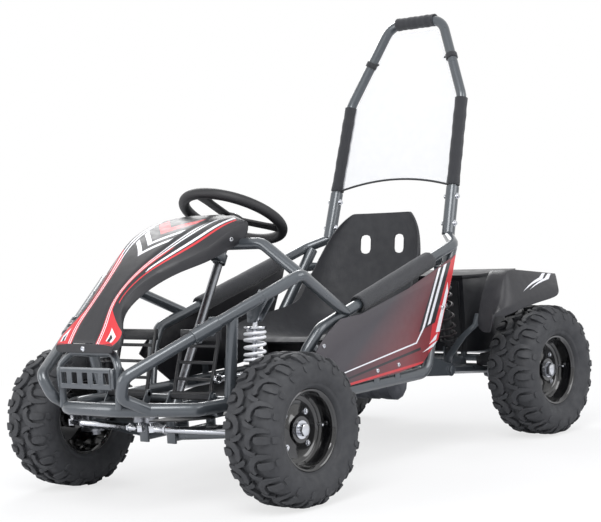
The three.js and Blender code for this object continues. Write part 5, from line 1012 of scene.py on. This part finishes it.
class KART_OT_cowl(bpy.types.Operator):
    """The long printed cowl over the nose, with a raised middle, its lip and its bolts"""
    bl_idname = "kart.cowl"
    bl_label = "Nose cowl"

    def execute(self, context):
        rows = []
        for along, ridge, shoulder, side, skirt in COWL_STATIONS:
            across, up = shoulder
            foot = (across * 0.72, ridge + (up - ridge) * 0.7 - 1)
            step = (across * 0.62, ridge + (up - ridge) * 0.45 + 1.5)
            half = [(x, along, z) for x, z in (skirt, side, shoulder, foot, step)]
            rows.append([on(1, spot) for spot in half] + [place(0, along, ridge)]
                        + [on(-1, spot) for spot in half[::-1]])
        sharp = [("column", i, 0.95) for i in range(1, 10) if i != RIDGE_COLUMN]
        hand_in(surface(rows, 0.003, 2, sharp, 0.0006), "cowl_shell", "cowl_print", "nose_cowl")
        lip = [[place(x * 94, -807.5 + x * x * 3, z) for x in LIP_SHARES] for z in LIP_HEIGHTS]
        hand_in(surface(lip, 0.004, 1, edge=0.0008, offset=0), "cowl_lip", "moulded_black")
        bolts = [dome_screw(place(0, -809, 391), Vector((0, -1, 0)), 0.007)]
        bolts += [dome_screw(on(side, spot), Vector((side, 0, 0.1)), radius)
                  for _, side in SIDES for spot, radius in COWL_BOLTS]
        hand_in(join(bolts), "cowl_bolts", "chrome")
        return {"FINISHED"}


# The panel's faces across, how deep its screws sit, and its outline and screws as along and up
PANEL_INNER, PANEL_OUTER, SCREW_SINK = 296.3, 299.3, 0.1
PANEL_OUTLINE = [(-349, 317), (-241, 232), (-14, 238), (86, 249), (160, 303), (244, 469), (264, 518), (168, 485),
                 (41, 446), (-158, 402), (-239, 399), (-290, 371), (-327, 342)]
PANEL_SCREWS = [(-310, 341), (-107, 255), (-19, 259), (186, 384)]


class KART_OT_side_panels(bpy.types.Operator):
    """The printed side panels with their screws"""
    bl_idname = "kart.side_panels"
    bl_label = "Side panels"

    def execute(self, context):
        for name, side in SIDES:
            panel = side_plate(side, PANEL_OUTLINE, PANEL_INNER, PANEL_OUTER, 0.0007)
            hand_in(panel, f"printed_panel_{name}", "panel_print", f"side_panel_{name}")
            screws = [dome_screw(on(side, (PANEL_OUTER - SCREW_SINK, y, z)), side * ACROSS, 0.006)
                      for y, z in PANEL_SCREWS]
            hand_in(join(screws), f"panel_screws_{name}", "chrome")
        return {"FINISHED"}


# Along, up, half width and height of the wings
SEAT_STATIONS = [(-128, 322, 172, 18), (-104, 336, 182, 36), (20, 306, 190, 78), (170, 292, 191, 104),
                 (264, 318, 190, 122), (314, 400, 188, 112), (336, 500, 178, 72), (348, 590, 152, 36),
                 (352, 634, 106, 12)]
# Points of a station: share of the half width and share of the wings' height
SEAT_ACROSS = [(-1, 1), (-0.93, 0.5), (-0.6, 0.06), (0, 0), (0.6, 0.06), (0.93, 0.5), (1, 1)]


SEAT_SLOT = [(41, 280, 522), (77, 400, 574)]
SEAT_RUNNER = [(-60, 270.3), (116, 270.3), (116, 299.5), (20, 308.5), (-60, 327.8)]


class KART_OT_seat(bpy.types.Operator):
    """The bucket seat with its two slots and its runners"""
    bl_idname = "kart.seat"
    bl_label = "Seat"

    def execute(self, context):
        rows = []
        for i, (along, up, half, wing) in enumerate(SEAT_STATIONS):
            before = SEAT_STATIONS[max(i - 1, 0)]
            after = SEAT_STATIONS[min(i + 1, len(SEAT_STATIONS) - 1)]
            run = Vector((0, after[0] - before[0], after[1] - before[1])).normalized()
            inward = Vector((0, -run.z, run.y))
            rows.append([place(share * half, along, up) + inward * wing * rise * MM
                         for share, rise in SEAT_ACROSS])
        shell = surface(rows, 0.005, 3, offset=1)
        for _, side in SIDES:
            cutter = side_block(side, *SEAT_SLOT, 0.012)
            modify(shell, "BOOLEAN", object=cutter, operation="DIFFERENCE", solver="EXACT")
            bpy.data.objects.remove(cutter)
        rounded(shell, 0.0012)
        parts = [smooth(shell)] + [side_plate(side, SEAT_RUNNER, 103, 121) for _, side in SIDES]
        hand_in(join(parts), "bucket_seat", "seat_plastic", "seat_shell")
        return {"FINISHED"}


# Soft pieces


# Where the grips begin and end, in millimetres along
GRIP_ENDS = (-140, 186)
FOAM_RIPPLE = 0.0002
# The cloth simulation of the foam's cover: voxels and longest move in metres, pressure and number of frames
VOXEL_SIZE = 0.004
LONGEST_MOVE = 0.002
PRESSURE = 4
LAST_FRAME = 20


class KART_OT_pads(bpy.types.Operator):
    """The foam grips on the armrest rails"""
    bl_idname = "kart.pads"
    bl_label = "Foam grips"

    def execute(self, context):
        start, end = on(1, ARMREST[2]), on(1, ARMREST[3])
        span = ARMREST[3][1] - ARMREST[2][1]
        ends = [start.lerp(end, (along - ARMREST[2][1]) / span) for along in GRIP_ENDS]
        axis, length = (ends[1] - ends[0]).normalized(), (ends[1] - ends[0]).length
        radius, bore = context.scene.kart_soft.pad_radius, context.scene.kart_frame.tube_radius + 0.0003
        profile = [(bore, 0.012), (bore + 0.002, 0.009), (radius - 0.0035, 0.002), (radius - 0.0015, 0)]
        profile += [(radius, 0.004 + (length - 0.008) * k / 12) for k in range(13)]
        profile += [(radius - 0.0015, length), (bore + 0.004, length - 0.001), (bore, length - 0.003)]
        grip = turned(profile, ends[0], axis, 40, closed=True)
        self.puff(grip, ends[0], axis, bore)
        for vertex in grip.data.vertices:
            reach = (vertex.co - ends[0]).dot(axis)
            out = vertex.co - ends[0] - axis * reach
            if out.length > bore + 0.004:
                angle = math.atan2(out.x, out.z)
                ripple = math.sin(reach * 57 + 2 * math.sin(angle)) + 0.4 * math.sin(reach * 131 + 3 * angle)
                vertex.co += out.normalized() * FOAM_RIPPLE * ripple
        grip = smooth(grip, 70)
        for name, side in SIDES:
            twin = grip if side > 0 else mirrored(grip)
            hand_in(twin, f"foam_grip_{name}", "woven_cover", f"armrest_pad_{name}")
        return {"FINISHED"}

    def puff(self, grip, foot, axis, bore):
        """Blows the foam up a little under its cover, held where it lies on the rail."""
        modify(grip, "REMESH", mode="VOXEL", voxel_size=VOXEL_SIZE)
        held = grip.vertex_groups.new(name="held")
        rest = [vertex.co.copy() for vertex in grip.data.vertices]
        off = lambda spot: (spot - foot) - axis * (spot - foot).dot(axis)
        held.add([i for i, spot in enumerate(rest) if off(spot).length < bore + 0.003], 1.0, "REPLACE")
        activate(grip)
        cloth = grip.modifiers.new("Cloth", "CLOTH")
        cloth.settings.use_pressure = True
        cloth.settings.uniform_pressure_force = PRESSURE
        cloth.settings.effector_weights.gravity = 0
        cloth.settings.vertex_group_mass = "held"
        cloth.point_cache.frame_end = LAST_FRAME
        for step in range(1, LAST_FRAME + 1):
            bpy.context.scene.frame_set(step)
        bpy.ops.object.modifier_apply(modifier=cloth.name)
        for vertex, spot in zip(grip.data.vertices, rest):
            move = vertex.co - spot
            if move.length > LONGEST_MOVE:
                vertex.co = spot + move.normalized() * LONGEST_MOVE
            out = off(vertex.co)
            if out.length < bore + 0.002:
                vertex.co += out.normalized() * (bore - out.length)
        grip.vertex_groups.clear()
        modify(grip, "SUBSURF", levels=1, render_levels=1)


def hoop_plane(across, height):
    """A point of the leaning plane that the roll bar lies in."""
    (_, y0, z0), (_, y1, z1) = ROLL_BAR[0], ROLL_BAR[2]
    return place(across, y0 + (y1 - y0) * (height - z0) / (z1 - z0), height)


def hoop_across(height):
    """Half the roll bar's width at a height."""
    (x0, _, z0), (x1, _, z1), (x2, _, z2) = ROLL_BAR
    if height < z1:
        return x0 + (x1 - x0) * (height - z0) / (z1 - z0)
    return x1 + (x2 - x1) * (height - z1) / (z2 - z1)


# The net's lower and upper edge, its gap to the roll bar beside and above the sleeves, and its lower edge's rise
NET_LOW, NET_HIGH = 700, 1146
NET_GAP_LOW, NET_GAP_HIGH = 6, 22
NET_RISE = 26
NET_ROWS, NET_COLUMNS = 24, 18
# Rows over which the rise fades
RISE_ROWS = 6
SLEEVE_TOP = 940
HOOK_HEIGHT = 1062
HOOK_REACH = 4
# Half the length of the sleeve on the roll bar's top
TOP_SLEEVE_HALF = 66
SLEEVE_BORE = 0.0142


class KART_OT_net(bpy.types.Operator):
    """The sheer net, its binding and hooks, and the sleeves on the roll bar"""
    bl_idname = "kart.net"
    bl_label = "Safety net"

    def execute(self, context):
        soft = context.scene.kart_soft
        edge = lambda height: hoop_across(height) - (NET_GAP_LOW if height < SLEEVE_TOP else NET_GAP_HIGH)
        grid = []
        for r in range(NET_ROWS + 1):
            height = NET_LOW + (NET_HIGH - NET_LOW) * r / NET_ROWS
            half = edge(height)
            grid.append([])
            for c in range(NET_COLUMNS + 1):
                share = 2 * c / NET_COLUMNS - 1
                lift = (1 - share * share) * NET_RISE * max(0.0, 1 - r / RISE_ROWS)
                grid[-1].append(hoop_plane(share * half, height + lift))
        net = surface(grid, 0.0012, offset=0)
        hand_in(net, "sheer_net", "sheer_net", "safety_net")
        covers = []
        for _, side in SIDES:
            foot, shoulder, top = (on(side, spot) for spot in ROLL_BAR)
            heights = [spot[2] for spot in ROLL_BAR]
            along = lambda height: foot.lerp(shoulder, (height - heights[0]) / (heights[1] - heights[0]))
            covers.append(self.sleeve(along(NET_LOW), along(SLEEVE_TOP), soft.sleeve_radius))
            centre = shoulder.lerp(top, (HOOK_HEIGHT - heights[1]) / (heights[2] - heights[1]))
            covers.append(collar(centre, top - shoulder, 0.017, 0.0141, 0.016))
            covers.append(rod(centre, hoop_plane(side * (edge(HOOK_HEIGHT) - HOOK_REACH), HOOK_HEIGHT), 0.003, 12))
        ends = (place(way * TOP_SLEEVE_HALF, *ROLL_BAR[2][1:]) for way in (-1, 1))
        covers.append(self.sleeve(*ends, soft.sleeve_radius))
        covers.append(swept(grid[0], 0.003, 10))
        hand_in(join(covers), "net_covers", "woven_cover")
        return {"FINISHED"}

    def sleeve(self, start, end, radius):
        """A fabric tube with a hem at each end and soft wrinkles."""
        length = (end - start).length
        count = 26
        profile = [(SLEEVE_BORE, 0.0005), (radius - 0.001, 0)]
        for k in range(count + 1):
            share = k / count
            ripple = 0.0005 * math.sin(share * 41) + 0.0004 * math.sin(share * 17 + 1)
            hem = 0.0006 if share < 0.03 or share > 0.97 else 0
            profile.append((radius - 0.0012 + ripple + hem, 0.001 + (length - 0.002) * share))
        profile += [(radius - 0.001, length), (SLEEVE_BORE, length - 0.0005)]
        return smooth(turned(profile, start, end - start, 32, closed=True), 60)


# Steering, pedals and the front end


# The wheel's distance up the column in millimetres, and its sizes in metres
WHEEL_DISTANCE = 118
WHEEL_RADIUS = 0.129
WHEEL_GRIP = 0.0135
# The grip is thicker by this much on its lower side
GRIP_SWELL = 0.0004
RING_POINTS = 20
SPOKE_DROP = 0.007
SPOKES = 3
# A spoke's reach and half width
SPOKE_STATIONS = [(0.012, 0.017), (0.05, 0.0165), (0.09, 0.0165), (0.112, 0.0185), (0.125, 0.022)]
HUB_PROFILE = [(0, 0.0012), (0.024, 0.001), (0.03, -0.002), (0.032, -0.006), (0.032, -0.0215), (0, -0.0215)]


class KART_OT_steering(bpy.types.Operator):
    """The steering wheel and its column"""
    bl_idname = "kart.steering"
    bl_label = "Steering"

    def execute(self, context):
        centre = up_column(WHEEL_DISTANCE)
        ring = []
        for k in range(RING_POINTS):
            angle = 2 * math.pi * k / RING_POINTS
            grip = WHEEL_GRIP + (GRIP_SWELL if math.sin(angle) < -0.3 else 0)
            ring.append((WHEEL_RADIUS + grip * math.cos(angle), grip * math.sin(angle)))
        parts = [smooth(turned(ring, centre, COLUMN_LEAN, 96, closed=True), 60)]
        ahead = COLUMN_LEAN.cross(ACROSS)
        screws = []
        for k in range(SPOKES):
            turn, half_turn = (Matrix.Rotation(2 * math.pi * (k + part) / SPOKES, 3, COLUMN_LEAN)
                               for part in (0, 0.5))
            parts.append(self.spoke(centre - COLUMN_LEAN * SPOKE_DROP, turn @ -ahead, turn @ ACROSS))
            spot = centre + half_turn @ (ahead * -0.016) + COLUMN_LEAN * MM
            screws.append(dome_screw(spot, COLUMN_LEAN, 0.0045))
        parts.append(smooth(turned(HUB_PROFILE, centre, COLUMN_LEAN, 40), 40))
        hand_in(join(parts), "wheel_rim", "wheel_grip", "steering_wheel", body="steering")
        hand_in(join(screws), "wheel_screws", "chrome", body="steering")
        dress("steering_column", "steering_shaft", "machined_steel")
        return {"FINISHED"}

    def spoke(self, centre, out, wide):
        """A broad spoke with rounded edges that widens into the rim."""
        rows = []
        for reach, half in SPOKE_STATIONS:
            rows.append([centre + out * reach + wide * half * share for share in (-1, -0.5, 0, 0.5, 1)])
        return smooth(surface(rows, 0.007, 0, edge=0.0022, offset=0), 40)


# CAD nodes of each side that are handed in smoothed: node, piece and finish
RUNNING_GEAR = [
    ("a_arm", "lower_arm", "frame_paint"), ("knuckle", "stub_axle", "machined_steel"),
    ("tie_rod", "track_rod", "chrome"), ("front_shock_rod", "front_damper_rod", "chrome"),
    ("rear_shock_rod", "rear_damper_rod", "chrome"),
]
# Shocks of the left side: ends, shares of the length at the spring's seats, radius of spring, wire, seat and snap
# ring in metres, curls and finish
SHOCKS = [
    ("front", (248, -492, 431), (248, -516, 184), (0.1, 0.46), 0.0235, 0.0036, 0.027, 0.0152, 5.5, "white_coil"),
    ("rear", (170, 372, 466), (170, 392, 243), (0.16, 0.86), 0.021, 0.0034, 0.025, 0.0142, 6, "dark_coil"),
]
SEAT_THICKNESS = 0.005
SEAT_ROOM = 0.0006


class KART_OT_front_end(bpy.types.Operator):
    """A-arms, knuckles, tie rods and both ends' shock absorbers"""
    bl_idname = "kart.front_end"
    bl_label = "Suspension"

    def execute(self, context):
        for name, side in SIDES:
            for node, piece, look in RUNNING_GEAR:
                dress(f"{node}_{name}", f"{piece}_{name}", look)
            for end, top, foot, shares, radius, wire, seat_radius, ring_radius, curls, look in SHOCKS:
                a, b = on(side, top), on(side, foot)
                run = (b - a).normalized()
                upper, lower = (a.lerp(b, share) for share in shares)
                spring = coil(upper + run * 0.003, lower - run * 0.003, radius, wire, curls)
                hand_in(spring, f"{end}_coil_{name}", look, f"{end}_spring_{name}")
                seat = collar(lower, run, seat_radius, ring_radius + SEAT_ROOM, SEAT_THICKNESS)
                hand_in(seat, f"{end}_spring_seat_{name}", "satin_black", f"{end}_spring_{name}", slot="shock_body")
                barrel = smooth_copy(f"{end}_shock_body_{name}")
                self.narrow(barrel, lower, run, ring_radius)
                hand_in(barrel, f"{end}_damper_{name}", "satin_black", f"{end}_shock_body_{name}",
                        body=f"{end}_shock_{name}", slot="shock_body")
        return {"FINISHED"}

    def narrow(self, barrel, middle, run, radius, reach=0.004):
        """Leaves a snap ring of the damper's collar, which slides through the spring's seat."""
        for vert in barrel.data.vertices:
            off = vert.co - middle
            along = run * off.dot(run)
            if along.length < reach and (off - along).length > radius:
                vert.co = middle + along + (off - along).normalized() * radius


class KART_OT_pedals(bpy.types.Operator):
    """Pedals and the brake rod"""
    bl_idname = "kart.pedals"
    bl_label = "Pedals"

    def execute(self, context):
        dress("brake_pedal", "brake_plate", "satin_black", "pedal_paint")
        dress("throttle_pedal", "throttle_plate", "satin_black", "pedal_paint")
        dress("brake_rod", "brake_link", "chrome")
        return {"FINISHED"}


# Wheels


# Both axles: half the track and place along
AXLES = [("front", 371.5, -525), ("rear", 375, 525)]
AXLE_HEIGHT = 177.5
TREAD_RADIUS = 168.5
# The skin under the lugs, as across and radius
TREAD_PROFILE = [(0, 168.5), (30, 168.5), (50, 167), (61, 162), (68, 154), (71.5, 143), (72.5, 128)]


def tread_point(across, round_, height):
    """A point over the tyre's skin: distance over the profile, distance round it and height, in millimetres."""
    side = -1 if across < 0 else 1
    left = abs(across)
    for (x0, r0), (x1, r1) in zip(TREAD_PROFILE, TREAD_PROFILE[1:]):
        length = math.hypot(x1 - x0, r1 - r0)
        if left <= length or (x1, r1) == TREAD_PROFILE[-1]:
            break
        left -= length
    share = left / length
    normal = Vector((r0 - r1, x1 - x0)).normalized()
    x = x0 + (x1 - x0) * share + normal.x * height
    radius = r0 + (r1 - r0) * share + normal.y * height
    angle = round_ / TREAD_RADIUS
    return Vector((side * x, radius * math.cos(angle), radius * math.sin(angle))) * MM


def spun(profile, steps, degrees):
    """Spins a closed profile of radius and across, in millimetres, round the axle."""
    return smooth(turned([(r * MM, x * MM) for r, x in profile], Vector(), ACROSS, steps, closed=True), degrees)


TYRE_OUTSIDE = [
    (88, 49.6), (94.3, 50.6), (97, 56), (100.5, 60), (103, 61.5), (106, 61.8), (108, 63.5), (116, 69), (128, 72.5),
    (136, 72.4), (143, 71.5), (149, 69.9), (154, 67.4), (158.5, 64.6), (162, 61), (165.2, 56), (167, 50),
    (168.2, 40), (TREAD_RADIUS, 30), (TREAD_RADIUS, 15),
]
TYRE_INSIDE = [(156, 46), (150, 56), (128, 62), (104, 54), (92, 42), (88, 40.6)]
RIM_OUTSIDE = [
    (87.7, 50), (94, 50), (94.6, 52.2), (93.2, 53), (90.6, 52.6), (88.4, 50.6), (84.9, 46), (84.5, 30), (81.5, 25),
    (81, 17), (77, 13), (70, 12.5), (66, 9.5), (44, 9.5), (39, 12), (34, 12.5), (31, 15), (30.5, 24), (13, 24),
]
RIM_INSIDE = [
    (13, -14), (31, -14), (31, 4), (62, 5), (76, 8), (84.5, 9), (84.9, -46), (88.4, -50.6), (90.6, -52.6),
    (93.2, -53), (94.6, -52.2), (94, -50), (87.7, -50),
]
# Hook, tongue, shoulder lug and bridge, as distance across, distance round, half width and share of the height
LUGS = [
    [(70, -22, 3.5, 0.3), (56, -25, 5, 0.62), (40, -25, 6.5, 0.9), (26, -19, 7.5, 1), (17, -7, 8, 1), (16, 6, 7, 1),
     (22, 15, 5, 0.95)],
    [(33, -5, 5, 0.9), (40, -4, 8, 1), (52, -3, 9, 0.9), (63, -3, 8.5, 0.62), (70, -3, 6, 0.4)],
    [(74, -2, 8, 0.3), (79, -2, 9.5, 0.32), (86, -2, 8.5, 0.3), (91, -2, 4, 0.26)],
    [(2, 14, 4, 0.9), (9, 21, 6, 1), (24, 27, 5, 0.95), (34, 28, 4, 0.85)],
]
# How far a lug reaches into the tyre, and how far its corners may stand past its height, in millimetres
LUG_ROOT = 1.5
LUG_SLACK = 0.7
# Places on the rim's axis, in metres: circle of the screws, the valve's ends and the hub nut's foot
SCREW_FACE, SCREW_CIRCLE = 0.0095, 0.052
VALVE = (Vector((0.012, 0.074, 0)), Vector((0.03, 0.072, 0)))
NUT_FACE = 0.0245


class KART_OT_wheels(bpy.types.Operator):
    """Four knobbly tyres on deep steel rims"""
    bl_idname = "kart.wheels"
    bl_label = "Wheels"

    def execute(self, context):
        tyre, rim, screws = self.tyre(context.scene.kart_wheels), self.rim(), self.rim_screws()
        for end, across, along in AXLES:
            for name, side in SIDES:
                body = f"front_wheel_{name}" if end == "front" else "axle"
                turn = Matrix.Identity(4) if side > 0 else Matrix.Rotation(math.pi, 4, "Z")
                spot = Matrix.Translation(on(side, (across, along, AXLE_HEIGHT))) @ turn
                hand_in(copied(tyre, spot), f"{end}_knobbly_{name}", "tyre_rubber", f"{end}_tyre_{name}", body=body)
                hand_in(copied(rim, spot), f"{end}_steel_rim_{name}", "rim_gloss", f"{end}_rim_{name}", body=body)
                hand_in(copied(screws, spot), f"{end}_rim_screws_{name}", "chrome", body=body)
        for obj in (tyre, rim, screws):
            bpy.data.objects.remove(obj)
        return {"FINISHED"}

    def tyre(self, sizes):
        outer, inner = ([(r, -x) for r, x in half[::-1]] for half in (TYRE_OUTSIDE, TYRE_INSIDE))
        loop = TYRE_OUTSIDE + outer + inner + TYRE_INSIDE
        pieces = [spun(loop, 108, 50)]
        kinds = [(lug, way) for way in (1, -1) for lug in self.lugs(way, sizes.lug_height * 1000)]
        for k in range(sizes.pitches):
            for kind, way in kinds:
                step = (k + (0.5 if way < 0 else 0)) / sizes.pitches
                pieces.append(copied(kind, Matrix.Rotation(2 * math.pi * step, 4, "X")))
        for kind, _ in kinds:
            bpy.data.objects.remove(kind)
        return join(pieces)

    def lugs(self, way, height):
        """The lugs of one pitch on one side."""
        made = []
        for stations in LUGS:
            top = height * max(station[3] for station in stations)
            rows = []
            for i, (across, round_, half, rise) in enumerate(stations):
                before, after = stations[max(i - 1, 0)], stations[min(i + 1, len(stations) - 1)]
                run = Vector((after[0] - before[0], after[1] - before[1])).normalized()
                rows.append([tread_point(way * (across - run.y * half * s), round_ + run.x * half * s, height * rise)
                             for s in (-1, -0.4, 0.4, 1)])
            lug = surface(rows[::way])
            modify(lug, "SOLIDIFY", thickness=(top + LUG_ROOT) * MM, offset=-1)
            if max(math.hypot(v.co.y, v.co.z) for v in lug.data.vertices) > (TREAD_RADIUS + top + LUG_SLACK) * MM:
                raise RuntimeError("a lug stands too far out: its wall grew outwards")
            made.append(smooth(rounded(lug, 0.0009, 1), 35))
        return made

    def rim(self):
        return spun(RIM_OUTSIDE + RIM_INSIDE, 72, 35)

    def rim_screws(self):
        """Four screws, the valve and the hub nut."""
        made = []
        for k in range(4):
            angle = math.pi / 4 + math.pi / 2 * k
            spot = Vector((SCREW_FACE, SCREW_CIRCLE * math.cos(angle), SCREW_CIRCLE * math.sin(angle)))
            made.append(hex_screw(spot, ACROSS, 0.0055, 0.005))
        made.append(rod(*VALVE, 0.003, 12))
        made.append(hex_screw(NUT_FACE * ACROSS, ACROSS, 0.0158, 0.0148))
        return join(made)


# The rear end


# CAD nodes that are handed in smoothed: node, piece and finish
REAR_UNIT = [
    ("swing_arm", "rear_swing", "frame_paint"), ("motor", "motor_drum", "cast_metal"),
    ("drive_chain", "roller_chain", "machined_steel"), ("rear_axle", "live_axle", "machined_steel"),
    ("brake_disc", "disc_plate", "machined_steel"), ("brake_caliper", "caliper_body", "satin_black"),
    ("axle_sprocket", "big_sprocket", "machined_steel"), ("motor_sprocket", "small_sprocket", "machined_steel"),
]
BATTERY_UNIT = [("battery_box", "box_shell", "satin_black"), ("battery_lid", "box_cover", "satin_black"),
                ("battery_pack", "cell_pack", "cell_wrap")]


class KART_OT_rear_unit(bpy.types.Operator):
    """Swing arm, motor, chain drive, axle and brake"""
    bl_idname = "kart.rear_unit"
    bl_label = "Rear unit"

    def execute(self, context):
        for node, piece, look in REAR_UNIT:
            dress(node, piece, look, edge=0 if node == "drive_chain" else 0.0006)
        return {"FINISHED"}


# Top, crease and band as along and up, and how far the row stands out
FENDER_ROWS = [
    ((302, 305), (302, 353), (330, 338), 0.3), ((391.3, 459.2), (359.6, 370.5), (379.5, 350.6), 0.8),
    ((412, 466.8), (391.6, 380.3), (407, 357.6), 0.9), ((522.5, 451), (498, 394.4), (504.8, 368.4), 1),
    ((648, 433), (600, 398), (602, 372), 1),
]


FENDER_INNER, FENDER_CREASE, FENDER_EDGE = 310, 366, 402


class KART_OT_fenders(bpy.types.Operator):
    """The rear fenders with their stripes"""
    bl_idname = "kart.fenders"
    bl_label = "Fenders"

    def execute(self, context):
        for name, side in SIDES:
            rows = []
            for top, crease, band, out in FENDER_ROWS:
                reach = FENDER_CREASE + (FENDER_EDGE - FENDER_CREASE) * out
                rows.append([on(side, spot) for spot in (
                    (FENDER_INNER, *top), (FENDER_CREASE, *top), (reach, *crease), (reach + 3, *band))])
            creases = [("column", 1, 0.85), ("column", 2, 0.85), ("row", 0, 1.0)]
            shell = surface(rows, 0.003, 2, creases, 0.0006, offset=-side)
            hand_in(shell, f"rear_fender_{name}", "fender_print", f"fender_{name}", body="rear_arm")
        return {"FINISHED"}


class KART_OT_battery_box(bpy.types.Operator):
    """The battery box, its lid and the pack, and the floor pan's finish"""
    bl_idname = "kart.battery_box"
    bl_label = "Battery box"

    def execute(self, context):
        for node, piece, look in BATTERY_UNIT:
            dress(node, piece, look, degrees=35, edge=0.002)
        pan = frame["nodes"]["floor_pan"]
        pan.data.materials.clear()
        pan.data.materials.append(finish("satin_black"))
        return {"FINISHED"}


class KART_PT_panel(bpy.types.Panel):
    """Lists the kart's pieces"""
    bl_idname = "KART_PT_panel"
    bl_label = "Off-road kart"
    bl_space_type = "VIEW_3D"
    bl_region_type = "UI"
    bl_category = "Kart"

    def draw(self, context):
        layout = self.layout
        for group in (context.scene.kart_frame, context.scene.kart_wheels, context.scene.kart_body,
                      context.scene.kart_soft):
            for key in group.bl_rna.properties.keys():
                if key not in ("rna_type", "name"):
                    layout.prop(group, key)
        for operator in OPERATORS:
            layout.operator(operator.bl_idname)


SETTINGS = {"kart_frame": KartFrameSettings, "kart_wheels": KartWheelSettings, "kart_body": KartBodySettings,
            "kart_soft": KartSoftSettings}
OPERATORS = (KART_OT_stage, KART_OT_lower_frame, KART_OT_rails, KART_OT_roll_bar, KART_OT_guard, KART_OT_cowl,
             KART_OT_side_panels, KART_OT_seat, KART_OT_pads, KART_OT_net, KART_OT_steering, KART_OT_front_end,
             KART_OT_pedals, KART_OT_wheels, KART_OT_rear_unit, KART_OT_fenders, KART_OT_battery_box)


def register():
    for group in (*SETTINGS.values(), *OPERATORS, KART_PT_panel):
        bpy.utils.register_class(group)
    for name, group in SETTINGS.items():
        setattr(bpy.types.Scene, name, bpy.props.PointerProperty(type=group))


def unregister():
    for name in SETTINGS:
        delattr(bpy.types.Scene, name)
    for group in (KART_PT_panel, *reversed(OPERATORS), *SETTINGS.values()):
        bpy.utils.unregister_class(group)


def main():
    """Makes every piece in order."""
    register()
    deselect()
    for operator in OPERATORS:
        group, name = operator.bl_idname.split(".")
        getattr(getattr(bpy.ops, group), name)()


if __name__ == "__main__":
    main()
